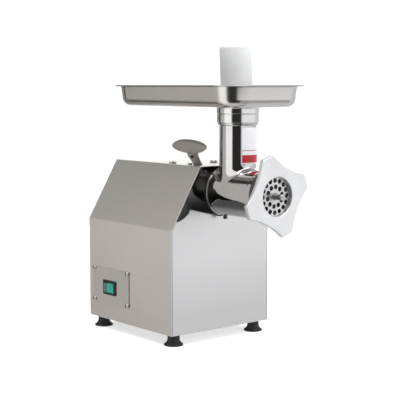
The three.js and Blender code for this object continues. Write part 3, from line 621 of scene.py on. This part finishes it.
def feet():
    """Moulded feet: a flat rim, a shallow cup underneath and a neck up to the base."""
    neck_top = BOTTOM - GAP
    profile = [(0, 2), (12, 2), (12.5, 0.25), (13, 0), (15.2, 0), (16, 0.7), (15.9, 2), (14.9, 3.1),
               (13, 4.4), (11.6, 6), (10.7, 8), (10.2, 10.4), (10, 13), (10, neck_top), (0, neck_top)]
    for end in ("front", "rear"):
        for side in ("left", "right"):
            node = f"foot_{end}_{side}"
            place = middle_of(node)
            bm = turned(profile, "Z", (place.x, place.y, 0), 56)
            piece(f"{node}_rubber", bm, "housing", FOOT_RUBBER, [node], smooth=50)


# ---- switch ----
PLATE_FACE = -span("switch_plate")[0].x


def pan_head(radius, height, shank_end):
    """Screw along Z with a domed head on z = 0 and a cross recess."""
    dome = [(radius * across, height * up) for across, up in
            ((1, 0.35), (0.93, 0.68), (0.7, 0.9), (0.35, 0.99), (0, 1))]
    shank = radius * 0.5
    bm = turned([(0, shank_end), (shank, shank_end), (shank, 0), (radius, 0), *dome], sides=40)
    arm = Matrix.Diagonal((radius * 1.15, radius * 0.26, height, 1))
    for turn in (0.4, 0.4 + math.pi / 2):
        recess = moved(0, 0, height * 0.95) @ Matrix.Rotation(turn, 4, "Z") @ arm
        bm = drilled(bm, block(bmesh.new(), recess))
    return bm


def round_switch(half_y, half_z, radius):
    """A rounded rectangle about the switch's middle."""
    return box_outline(SWITCH_Y - half_y, SWITCH_Y + half_y, SWITCH_Z - half_z, SWITCH_Z + half_z, radius)


def switch():
    low, high = span("switch_plate")
    outlines = [box_outline(low.y, high.y, low.z, high.z, 1.6), round_switch(16, 10.5, 1)]
    bm = plate(bmesh.new(), outlines, SHEET, 0.3, facing_x(-PLATE_FACE, -PLATE_FACE + SHEET))
    piece("switch_plate_sheet", bm, "housing", SWITCH_STEEL, ["switch_plate"])

    head_radius, head_height, shank_end = 4, 2.4, -9
    for number in range(1, 5):
        node = f"plate_screw_{number}"
        middle = middle_of(node)
        bm = pan_head(head_radius, head_height, shank_end)
        turn = (moved(span(node)[0].x + head_height, middle.y, middle.z)
                @ Matrix.Rotation(-math.pi / 2, 4, "Y") @ Matrix.Rotation(number * 0.9, 4, "Z"))
        piece(f"{node}_head", placed(bm, turn), "housing", SCREW_STEEL, [node])

    low, high = span("switch_body")
    window, sleeve = round_switch(13.6, 8.6, 0.8), round_switch(15.6, 10.1, 0.6)
    bezel = box_outline(low.y, high.y, low.z, high.z, 1.8)
    bm = plate(bmesh.new(), [bezel, window], 1.8, 0.6, facing_x(low.x, low.x + 1.8), fineness=3)
    plate(bm, [sleeve, window], 14.5, 0.1, facing_x(low.x + 1.6, low.x + 16.1))
    plate(bm, [sleeve], 9.5, 0.1, facing_x(low.x + 16.2, high.x))
    piece("switch_bezel", bm, "housing", BLACK_PLASTIC, ["switch_body"])

    # The rocker turns about a vertical pin and rests pressed in on one side.
    outline = rounded([(-11.6, -9.2), (0, -6.4), (11.6, -9.2), (11.6, -2), (5, 4.5), (-5, 4.5), (-11.6, -2)],
                      [1, 6, 1, 1, 1, 1, 1], steps=4)
    bm = plate(bmesh.new(), [outline], 16.4, 0.5, lying(-8.2, 8.2), fineness=3)
    pressed, pin_depth = math.radians(8), 4
    rest = (moved(-PLATE_FACE - GAP + pin_depth, SWITCH_Y, SWITCH_Z)
            @ Matrix.Rotation(pressed - math.pi / 2, 4, "Z"))
    piece("rocker_lens", placed(bm, rest), "rocker", lens_material(), ["rocker"], smooth=40)


# ---- top fittings and clamp ----
def top_fittings():
    face = TOP + GAP
    for number in (1, 2):
        node = f"cover_screw_{number}"
        low, high = span(node)
        x, y, _ = middle_of(node)
        radius, shank = (high.y - low.y) / 2, 2.3
        head = rounded([(0, low.z), (shank, low.z), (shank, face), (radius, face), (radius, high.z),
                        (0, high.z)], [0, 0, 0, 0.3, 0.9, 0], closed=False, steps=4)
        bm = turned(head, "Z", (x, y, 0), 40)
        bm = drilled(bm, rod(radius / 2, high.z - 1.6, high.z + 1, x, y, sides=6))
        piece(f"{node}_socket_head", bm, "housing", SCREW_STEEL, [node])

    low, high = span("filler_plug")
    x, y, _ = middle_of("filler_plug")
    teeth, rim, shank, seat = 18, 6.6, 4.2, face + 0.5
    knurl = [rim, rim - 0.8] * teeth
    outline = [(x + r * math.cos(a), y + r * math.sin(a)) for a, r in zip(around(teeth * 2), knurl)]
    bm = plate(bmesh.new(), [outline], 4, 0.5, lying(face, high.z))
    lathe(bm, [(0, low.z), (shank, low.z), (shank, seat), (0, seat)], "Z", (x, y, 0), 32)
    piece("filler_plug_knurled", bm, "housing", PLUG_METAL, ["filler_plug"])


def in_dimple(profile):
    """Turns a profile about the axis of the handle's grub screw, which points out to one side of the stem."""
    height, turn = 70, math.radians(33)
    return placed(turned(profile, "X", sides=28), moved(0, 0, height) @ Matrix.Rotation(turn, 4, "Z"))


def clamp():
    foot, radius, tip = 33.5, 5, 59.6
    bm = turned(rounded([(0, foot), (radius, foot), (radius, tip), (0, tip)], 0.8, closed=False))
    along_clamp(bm)
    piece("clamp_screw_turned", bm, "clamp_screw", SHAFT_STEEL, ["clamp_screw"])

    # The handle is an oval paddle with a raised rim, melted into its stem.
    top, long_half, tall_half, thick = 85.7, 42, 12, 4.5
    sides, rim = 72, [(0.80, 0.70), (0.87, 0.97), (0.93, 1.0), (0.98, 0.86), (1.0, 0.5)]
    faces = [(0.01, -0.68)] + [(size, -depth) for size, depth in rim] + rim[::-1] + [(0.01, 0.68)]
    loops = [[(thick * depth, long_half * size * math.cos(a),
               top + (tall_half * size - (1 - size) * 1.5) * math.sin(a)) for a in around(sides)]
             for size, depth in faces]
    bm = bmesh.new()
    loft(bm, loops, True, True)
    stem = [(0, 40.2), (6.5, 40.2), (6.9, 40.8), (6.8, 56), (7.2, 62), (8.2, 67), (9.2, 71), (8.6, 75),
            (0, 77)]
    lathe(bm, stem, sides=48)
    bm = modified(bm, "REMESH", mode="VOXEL", voxel_size=0.8)
    axes = {"use_axis_x": True, "use_axis_y": True, "use_axis_z": True}
    for _ in range(3):
        bmesh.ops.smooth_vert(bm, verts=bm.verts, factor=0.5, **axes)
    bm = drilled(bm, in_dimple([(3.3, -14), (3.3, -5.2)]))
    bore = 5.3
    bm = drilled(bm, rod(bore, 39, 60, sides=40))
    piece("clamp_handle_cast", along_clamp(bm), "clamp_handle", HANDLE_PAINT, ["clamp_handle"],
          smooth=50)

    screw = [(0, -6.2), (1.3, -6.2), (1.3, -7.2), (2.6, -7.2), (3.05, -6.8), (3.05, -5.4), (0, -5.4)]
    piece("handle_grub_screw", along_clamp(in_dimple(screw)), "clamp_handle", BLACK_OXIDE)


# ---- grinding head ----
def blend_reach(angle):
    """How far the fillet at the throat's foot reaches out: widest at the front, least at the flange."""
    forward = -math.sin(angle)
    return 4.5 + 5.5 * max(0, forward) ** 1.5 - 3.5 * max(0, -forward) ** 1.2


def foot_point(angle):
    """Where the fillet meets the barrel, unrolled: distance round the barrel from its top, and y."""
    reach = THROAT + blend_reach(angle)
    return BARREL * math.asin(reach * math.cos(angle) / BARREL), THROAT_Y + reach * math.sin(angle)


def on_throat(radius, angle, z):
    """A point round the throat's axis."""
    return Vector((radius * math.cos(angle), THROAT_Y + radius * math.sin(angle), z))


def head_casting():
    """Barrel, throat and the fillet between them as one skin."""
    round_half = math.pi * BARREL
    front, back = THREAD_BACK, SHOULDER - 0.1
    across, along = 64, 24
    spots = [-round_half + 2 * round_half * i / across for i in range(across)]
    border = [(s, front) for s in spots]
    border += [(round_half, front + (back - front) * i / along) for i in range(along)]
    border += [(-s, back) for s in spots]
    border += [(-round_half, back - (back - front) * i / along) for i in range(along)]

    table = []
    for angle in around(2880, -math.pi):
        s, y = foot_point(angle)
        table.append((math.atan2(y - THROAT_Y, s), angle))
    table.sort()

    def foot_angle(direction):
        """The throat angle whose foot lies in a direction on the unrolled barrel."""
        return min(table, key=lambda row: abs(row[0] - direction))[1]

    def wrap(s, y, radius=BARREL):
        """A point on the barrel from its unrolled place."""
        return Vector((radius * math.sin(s / BARREL), y, AXIS_Z + radius * math.cos(s / BARREL)))

    # The barrel's skin runs out from the foot of the fillet to the border.
    angles = [foot_angle(math.atan2(y - THROAT_Y, s)) for s, y in border]
    feet_points = [foot_point(angle) for angle in angles]
    steps = 12
    loops = []
    for k in range(steps + 1):
        share = (k / steps) ** 1.35
        loops.append([wrap(s0 + (s1 - s0) * share, y0 + (y1 - y0) * share)
                      for (s0, y0), (s1, y1) in zip(feet_points, border)])

    # The fillet leaves the barrel along its slope and meets the throat upright.
    fillet = []
    bend = 9
    for angle in angles:
        reach = blend_reach(angle)
        edge = THROAT + reach
        drop = math.sqrt(BARREL ** 2 - (edge * math.cos(angle)) ** 2)
        slope = -edge * math.cos(angle) ** 2 / drop
        low = Vector((edge, AXIS_Z + drop))
        knee = Vector((THROAT, low.y - slope * reach))
        high = Vector((THROAT, knee.y + reach * 1.15 + 1.5))
        fillet.append(hollow_curve(low, knee, high, bend))
    for k in range(1, bend + 1):
        loops.insert(0, [on_throat(p[k].x, a, p[k].y) for a, p in zip(angles, fillet)])

    throat = [(THROAT, 318), (THROAT, 340), (THROAT, BEAD_Z - 1.4), (THROAT + 0.8, BEAD_Z - 0.5),
              (THROAT + 2.4, BEAD_Z), (THROAT + 3, BEAD_Z + 0.9), (THROAT + 3, BEAD_Z + 2),
              (THROAT + 2.4, BEAD_Z + 2.8), (THROAT + 0.1, BEAD_Z + 2.9), (THROAT, BEAD_Z + 4),
              (THROAT, THROAT_TOP - 0.8), (THROAT - 0.7, THROAT_TOP), (THROAT_BORE + 0.6, THROAT_TOP),
              (THROAT_BORE, THROAT_TOP - 0.8), (THROAT_BORE, 286)]
    for radius, z in throat:
        loops.insert(0, [on_throat(radius, a, z) for a in angles])
    bm = bmesh.new()
    loft(bm, loops)

    # Mouth, bore and spigot stand on the barrel's own vertices, so that the skin stays one piece.
    bore, tail, seat = PLATE + GAP, 14, PLATE_BACK + GAP
    barrel = [(BARREL, front), (BARREL + 0.2, front - 0.6), (THREAD - 0.7, front - 0.6),
              (THREAD, front - 1.3), (THREAD, MOUTH + 1), (THREAD - 1, MOUTH), (bore + 0.6, MOUTH),
              (bore, MOUTH + 0.6), (bore, seat), (CHAMBER, seat), (CHAMBER, SHOULDER - 5),
              (NECK, SHOULDER - 3), (NECK, 20), (tail, 20),
              (tail, SPIGOT_BACK), (SPIGOT - 1.2, SPIGOT_BACK), (SPIGOT, SPIGOT_BACK - 1.2), (SPIGOT, back),
              (BARREL, back)]
    loft(bm, [[wrap(s, y, radius) for s in spots] for radius, y in barrel])
    flange, inner, rear = BARREL + 1.1, BARREL - 2, SHOULDER - 1.7
    rib = rounded([(inner, rear), (flange, rear), (flange, back), (inner, back)], [0, 0.6, 0.4, 0], steps=3)
    auger_ring(bm, rib, 96)
    piece("head_casting_polished", bm, "head", POLISHED, ["head_casting"], smooth=38)


def socket_tube():
    low, high = SOCKET_FRONT, SOCKET_BACK
    bore, seat, lip, step, floor_y = 33.2, 23.8, 20, 39.2, 37
    profile = rounded([(bore, low), (BARREL, low), (BARREL, high), (seat, high), (seat, step), (lip, step),
                       (lip, floor_y), (bore, floor_y)], [0.5, 1, 0.5, 0, 0, 0, 0, 0], steps=3)
    clamp_bore = 5.4
    bm = drilled(auger_ring(bmesh.new(), profile), along_clamp(rod(clamp_bore, 25, 50)))
    piece("socket_tube_polished", bm, "housing", POLISHED, ["socket_tube"])


def seals_and_screws():
    middle = (SHOULDER + SOCKET_FRONT) / 2
    radius, half_wide, half_long = 38.3, 2.9, 1.9
    ring = [(radius + half_wide * math.cos(a), middle + half_long * math.sin(a)) for a in around(16)]
    bm = auger_ring(bmesh.new(), ring)
    piece("head_o_ring_nitrile", bm, "head", SEAL_RUBBER, ["head_o_ring"], smooth=60)

    low, high = span("locating_screw")
    x, y, _ = middle_of("locating_screw")
    radius, shank, seat, key = (high.y - low.y) / 2, 2, 209.8, 1.2
    head = rounded([(0, low.z), (radius, low.z), (radius, seat), (shank, seat), (shank, high.z), (0, high.z)],
                   [0, 2.2, 0.4, 0, 0, 0], closed=False, steps=6)
    bm = turned(head, "Z", (x, y, 0), 36)
    bm = drilled(bm, rod(key, low.z - 1, low.z + 1.8, x, y, sides=6))
    piece("locating_screw_socket_head", bm, "head", BLACK_OXIDE, ["locating_screw"])


def cutting_plate():
    """Ground plate with two rings of holes and a low boss round the auger's stud."""
    hole = 3.7
    outlines = [circle(0, 0, PLATE, 96), circle(0, 0, STUD + GAP, 32)]
    for count, ring, turn in ((16, 25.4, 0), (10, 15.4, 0.2)):
        outlines += [circle(ring * math.cos(a), ring * math.sin(a), hole, 24) for a in around(count, turn)]
    upright = moved(0, 0, AXIS_Z) @ facing_y(PLATE_FRONT, PLATE_BACK)
    bm = plate(bmesh.new(), outlines, PLATE_BACK - PLATE_FRONT, 0.35, upright)
    base, face = PLATE_FRONT + 0.2, PLATE_FRONT - 0.7
    boss = [(STUD + 1, base), (9.4, base), (9.1, face), (STUD + 1.4, face)]
    auger_ring(bm, rounded(boss, [0, 0, 0.4, 0.4], steps=3), 64)
    piece("cutting_plate_ground", bm, "head", PLATE_STEEL, ["cutting_plate"])

    back = span("auger_stud")[1].y
    tip = rounded([(0, back), (STUD, back), (STUD, STUD_TIP), (0, STUD_TIP)], [0, 0, 1.1, 0], closed=False,
                  steps=3)
    bm = turned(tip, "Y", (0, 0, AXIS_Z), 48)
    slot = (moved(0, STUD_TIP, AXIS_Z) @ Matrix.Rotation(0.5, 4, "Y")
            @ Matrix.Diagonal((12, 2.4, 1.3, 1)))
    bm = drilled(bm, block(bmesh.new(), slot))
    piece("auger_stud_turned", bm, "auger", SCREW_STEEL, ["auger_stud"])


def star_nut():
    """Four flat-ended lobes with hollowed flanks, a lipped mouth and a plain skirt behind."""
    lean, tip, half_tip, corner, waist, lobes = math.radians(19.4), 65.5, 12.3, 2, 43, 4
    outline = []

    def at(angle, along, across):
        return Vector((along * math.cos(angle) - across * math.sin(angle),
                       along * math.sin(angle) + across * math.cos(angle)))

    for angle in around(lobes, lean):
        end = [at(angle, tip - corner, -half_tip), at(angle, tip, -half_tip + corner),
               at(angle, tip, half_tip - corner), at(angle, tip - corner, half_tip)]
        outline += rounded(end, [0, 1.5, 1.5, 0], closed=False, steps=4)
        pull = at(angle + math.pi / lobes, waist, 0)
        following = at(angle + math.tau / lobes, tip - corner, -half_tip)
        outline += hollow_curve(end[3], pull, following, 16)[1:-1]
    thick, opening = 7, 34
    upright = moved(0, 0, AXIS_Z) @ facing_y(NUT_FRONT, NUT_FRONT + thick)
    bm = plate(bmesh.new(), [outline, circle(0, 0, opening, 96)], thick, 1.3, upright, fineness=3)
    inner, outer, face, back = 30.9, 35.4, NUT_FRONT + 0.1, NUT_FRONT + 5.5
    mouth = rounded([(inner, face), (outer, face), (outer, back), (inner, back)], [1.4, 0, 0, 0.6], steps=4)
    auger_ring(bm, mouth)
    piece("star_nut_cast", bm, "ring_nut", NUT_ALLOY, ["ring_nut"], smooth=36)

    # The skirt's near-black material is painted shade, not the nut's own alloy colour.
    inner, outer, start = 41.3, 45, NUT_FRONT + 5.6
    skirt = rounded([(inner, start), (outer, start), (outer, NUT_BACK), (inner, NUT_BACK)], [0, 0, 1.2, 0.6],
                    steps=4)
    bm = auger_ring(bmesh.new(), skirt)
    piece("star_nut_skirt", bm, "ring_nut", SKIRT_PAINTED_SHADE, smooth=36)


def throat_label():
    """A film label curved round the front of the throat."""
    start, end, columns = math.radians(-119), math.radians(-38), 32
    angles = [start + (end - start) * i / columns for i in range(columns + 1)]
    bm = bmesh.new()
    verts = [[bm.verts.new(on_throat(radius, a, z)) for a in angles]
             for radius in (THROAT + 0.02, THROAT + 0.16) for z in (LABEL_LOW, LABEL_HIGH)]
    for a, b in ((0, 1), (2, 3), (0, 2), (1, 3)):
        for i in range(columns):
            bm.faces.new((verts[a][i], verts[a][i + 1], verts[b][i + 1], verts[b][i]))
    for i in (0, columns):
        bm.faces.new((verts[0][i], verts[1][i], verts[3][i], verts[2][i]))
    piece("throat_label", bm, "head", label_material(), smooth=40)


# ---- tray and pusher ----
def tray():
    """Pressed pan with a rolled rim and drafted walls, and the collar that sits over the throat."""
    low, high = span("feed_tray")
    half_x, half_y, middle = high.x, (high.y - low.y) / 2, middle_of("feed_tray").y
    rim, floor_z = high.z, 388.8
    thick, flange, draft, corner, bend, bore = 1.4, 10.5, 4.5, 50, 13, 31.1
    wall_tall = rim - floor_z
    lean = math.atan2(draft, wall_tall)

    def loop(inset, z):
        outline = box_outline(-half_x + inset, half_x - inset, middle - half_y + inset,
                              middle + half_y - inset, corner - inset, steps=14)
        return [Vector((p.x, p.y, z)) for p in outline]

    def wall(z, skin):
        """How far in the wall's face stands at a height."""
        return flange + skin + draft * (rim - z) / wall_tall

    def heel(skin, radius, level):
        """The bend from the drafted wall into the floor."""
        start = wall(level + radius * (1 - math.sin(lean)), skin) + radius * math.cos(lean)
        angles = [lean + (math.pi / 2 - lean) * k / 9 for k in range(10)]
        return [(start - radius * math.cos(a), level + radius * (1 - math.sin(a))) for a in angles]

    base = floor_z + thick
    flat = wall(base, thick) + bend + 3
    inner = [(0.5, rim - 2.6), (0, rim - 1.9), (0.25, rim - 1.0), (1.2, rim - 0.35), (3, rim), (8.6, rim),
             (10.6, rim - 0.4), (11.7, rim - 1.5), (wall(rim - 4, thick), rim - 4)]
    inner += [*heel(thick, bend, base), (flat, base)]
    outer = [(1.1, rim - 2.6), (1.2, rim - 1.9), (1.9, rim - 1.5), (3.2, rim - thick), (8.2, rim - thick),
             (9.6, rim - 1.9), (wall(rim - 4, 0), rim - 4.2)]
    outer += [*heel(0, bend + thick, floor_z), (flat, floor_z)]
    bm = bmesh.new()
    loft(bm, [loop(inset, z) for inset, z in inner[::-1] + outer], True, True)
    bm = drilled(bm, rod(bore, floor_z - 4, floor_z + 6, 0, THROAT_Y, sides=96))
    piece("feed_tray_pan", bm, "tray", TRAY_STEEL, ["feed_tray"], smooth=34)

    foot, top = low.z, floor_z - 0.05
    collar = rounded([(bore, foot), (34.3, foot), (34.6, foot + 0.4), (34.6, 376.6), (34.0, 377.1),
                      (34.0, 378.3), (35, 378.8), (35, floor_z - 2.2), (36.6, floor_z - 0.4), (36.6, top),
                      (bore, top)], [0.3, 0.6, 0.6, 0.4, 0.3, 0.3, 0.5, 2, 0, 0, 0], steps=3)
    bm = turned(collar, "Z", (0, THROAT_Y, 0), 112, closed=True)
    piece("feed_tray_collar", bm, "tray", COLLAR_STEEL)


def pusher():
    """Plain rod with a slightly dished top, leaning in the throat."""
    radius, bottom, top, pivot, dish = 25.5, 291, 486, 342, 21
    lean = math.radians(2)
    side = Vector((-0.773, 0.635, 0)).normalized()
    profile = rounded([(0, bottom), (radius, bottom), (radius, top), (0, top)], [0, 3, 4.3, 0], closed=False,
                      steps=8)
    dished = [(r, z - 0.6 * (1 - r / dish)) if r < dish and z > top - 1 else (r, z) for r, z in profile]
    bm = turned([(r, z - pivot) for r, z in dished], sides=112)
    tilt = Matrix.Rotation(lean, 4, Vector((0, 0, 1)).cross(side))
    placed(bm, moved(0, THROAT_Y, pivot) @ tilt)
    piece("pusher_turned", bm, "pusher", PUSHER_PLASTIC, ["pusher"], smooth=40)


# ---- CAD nodes that stay ----
KEPT = {
    PLAIN_STEEL: ["base_plate", "chassis_plate", "capacitor_clip"],
    CASE_ALLOY: ["gear_case", "motor_front_bell", "motor_rear_bell"],
    SHAFT_STEEL: ["output_bearing_front", "output_bearing_rear", "output_shaft", "output_gear", "lay_shaft",
                  "lay_pinion", "lay_gear", "motor_pinion", "motor_bearing_front", "motor_bearing_rear",
                  "motor_shaft"],
    BRONZE: ["lay_bush_front", "lay_bush_rear"],
    LAMINATIONS: ["stator", "rotor_core"],
    BLACK_PLASTIC: ["cooling_fan", "gland_nut"],
    COWL: ["fan_cowl"],
    WHITE_PLASTIC: ["start_capacitor", "terminal_block"],
    PLATE_STEEL: ["plate_key"],
    # The knife's near-black material is painted shade.
    KNIFE_PAINTED_SHADE: ["knife"],
    AUGER_ALLOY: ["auger"],
    RING_PLASTIC: ["thrust_ring"],
}


def dress_kept_nodes():
    for material, names in KEPT.items():
        for name in names:
            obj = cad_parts[name]
            obj.data.materials.clear()
            obj.data.materials.append(material)
            bevel = obj.modifiers.new("edge", "BEVEL")
            bevel.width = 0.0003
            bevel.segments = 2
            bevel.limit_method = "ANGLE"
            bevel.angle_limit = math.radians(40)


# ---- studio ----
def floor():
    mesh = bpy.data.meshes.new("studio_floor")
    bm = bmesh.new()
    bmesh.ops.create_circle(bm, cap_ends=True, radius=1.5, segments=96)
    bm.to_mesh(mesh)
    bm.free()
    look = Look("studio_floor", (0.85, 0.85, 0.85), 0, 0.9, Emission_Color=(1, 1, 1, 1),
                Emission_Strength=0.5)
    look.tint(look.noise(3, detail=2), 0.01)
    mesh.materials.append(look.material)
    obj = linked("studio_floor", mesh)
    obj.visible_glossy = False


# Soft boxes and dark flags round the studio. Each row holds two compass angles from +X towards +Y, two
# elevations and the softness of the edges, all in degrees, and then the colour. Later rows lie on top.
STUDIO = [
    (22, 66, -6, 24, 5, (1.9, 1.9, 1.9)),
    (66, 104, -60, 60, 5, (0.36, 0.345, 0.33)),
    (104, 121, -60, 60, 3, (0.05, 0.048, 0.045)),
    (121, 150, -60, 60, 3, (0.58, 0.56, 0.54)),
    (150, 192, -60, 60, 5, (1.25, 1.24, 1.22)),
    (194, 247, -60, 60, 3, (0.03, 0.03, 0.03)),
    (250, 332, -20, 55, 8, (1.0, 1.0, 1.01)),
    (250, 332, -60, -20, 6, (0.42, 0.42, 0.43)),
    (194, 266, -60, -24, 4, (0.03, 0.03, 0.03)),
]


def studio_light():
    """The surroundings that the metal reflects. The camera itself sees plain white."""
    world = bpy.data.worlds.new("studio")
    bpy.context.scene.world = world
    world.use_nodes = True
    tree = world.node_tree
    nodes, links = tree.nodes, tree.links
    nodes.clear()

    def math_node(operation, *values):
        node = nodes.new("ShaderNodeMath")
        node.operation = operation
        for socket, value in zip(node.inputs, values):
            if isinstance(value, bpy.types.NodeSocket):
                links.new(value, socket)
            else:
                socket.default_value = value
        return node.outputs[0]

    separate = nodes.new("ShaderNodeSeparateXYZ")
    links.new(nodes.new("ShaderNodeTexCoord").outputs["Generated"], separate.inputs[0])
    degrees = 180 / math.pi
    angle = math_node("ARCTAN2", separate.outputs["Y"], separate.outputs["X"])
    compass = math_node("MODULO", math_node("ADD", math_node("MULTIPLY", angle, degrees), 360), 360)
    elevation = math_node("MULTIPLY", math_node("ARCSINE", separate.outputs["Z"]), degrees)

    def inside(value, low, high, soft):
        """1 between low and high, with soft edges."""
        edges = []
        for start, end in ((low - soft, low + soft), (high + soft, high - soft)):
            node = nodes.new("ShaderNodeMapRange")
            node.interpolation_type = "SMOOTHSTEP"
            node.inputs["From Min"].default_value = start
            node.inputs["From Max"].default_value = end
            links.new(value, node.inputs["Value"])
            edges.append(node.outputs["Result"])
        return math_node("MULTIPLY", *edges)

    color = (0.75, 0.75, 0.75)
    for west, east, low, high, soft, level in STUDIO:
        mask = math_node("MULTIPLY", inside(compass, west, east, soft), inside(elevation, low, high, soft))
        color = mix_colors(tree, mask, color, level)
    seen = nodes.new("ShaderNodeLightPath").outputs["Is Camera Ray"]
    background = nodes.new("ShaderNodeBackground")
    links.new(mix_colors(tree, seen, color, (1.06, 1.06, 1.06)), background.inputs["Color"])
    links.new(background.outputs[0], nodes.new("ShaderNodeOutputWorld").inputs["Surface"])

    softbox("overhead_softbox", (-0.1, -0.2, 2.6), 3.2, 78, True)
    softbox("front_softbox", (0.3, -2.1, 0.8), 1.6, 20, False)


def softbox(name, place, size, energy, mirrored):
    """A square lamp aimed at the middle of the part. mirrored says if metal reflects it."""
    lamp = bpy.data.lights.new(name, "AREA")
    lamp.size = size
    lamp.energy = energy
    obj = linked(name, lamp)
    obj.location = place
    obj.rotation_euler = (Vector((0, 0, 0.25)) - Vector(place)).to_track_quat("-Z", "Y").to_euler()
    obj.visible_glossy = mirrored


def camera():
    data = bpy.data.cameras.new("camera")
    data.sensor_width = 36
    data.lens = 100
    data.clip_end = 30
    obj = linked("camera", data)
    place, down, turn = Vector((-1187.3, -1389.6, 425.5)), math.radians(5.97), math.radians(-39.4)
    obj.location = ORIGIN + place * MM
    obj.rotation_euler = (math.pi / 2 - down, 0, turn)
    bpy.context.scene.camera = obj


camera()
bpy.context.scene.view_settings.view_transform = "Standard"
floor()
studio_light()

housing()
front_panel()
rear_panel()
cable_gland()
feet()
switch()
top_fittings()
clamp()
socket_tube()
head_casting()
seals_and_screws()
cutting_plate()
star_nut()
throat_label()
tray()
pusher()
dress_kept_nodes()
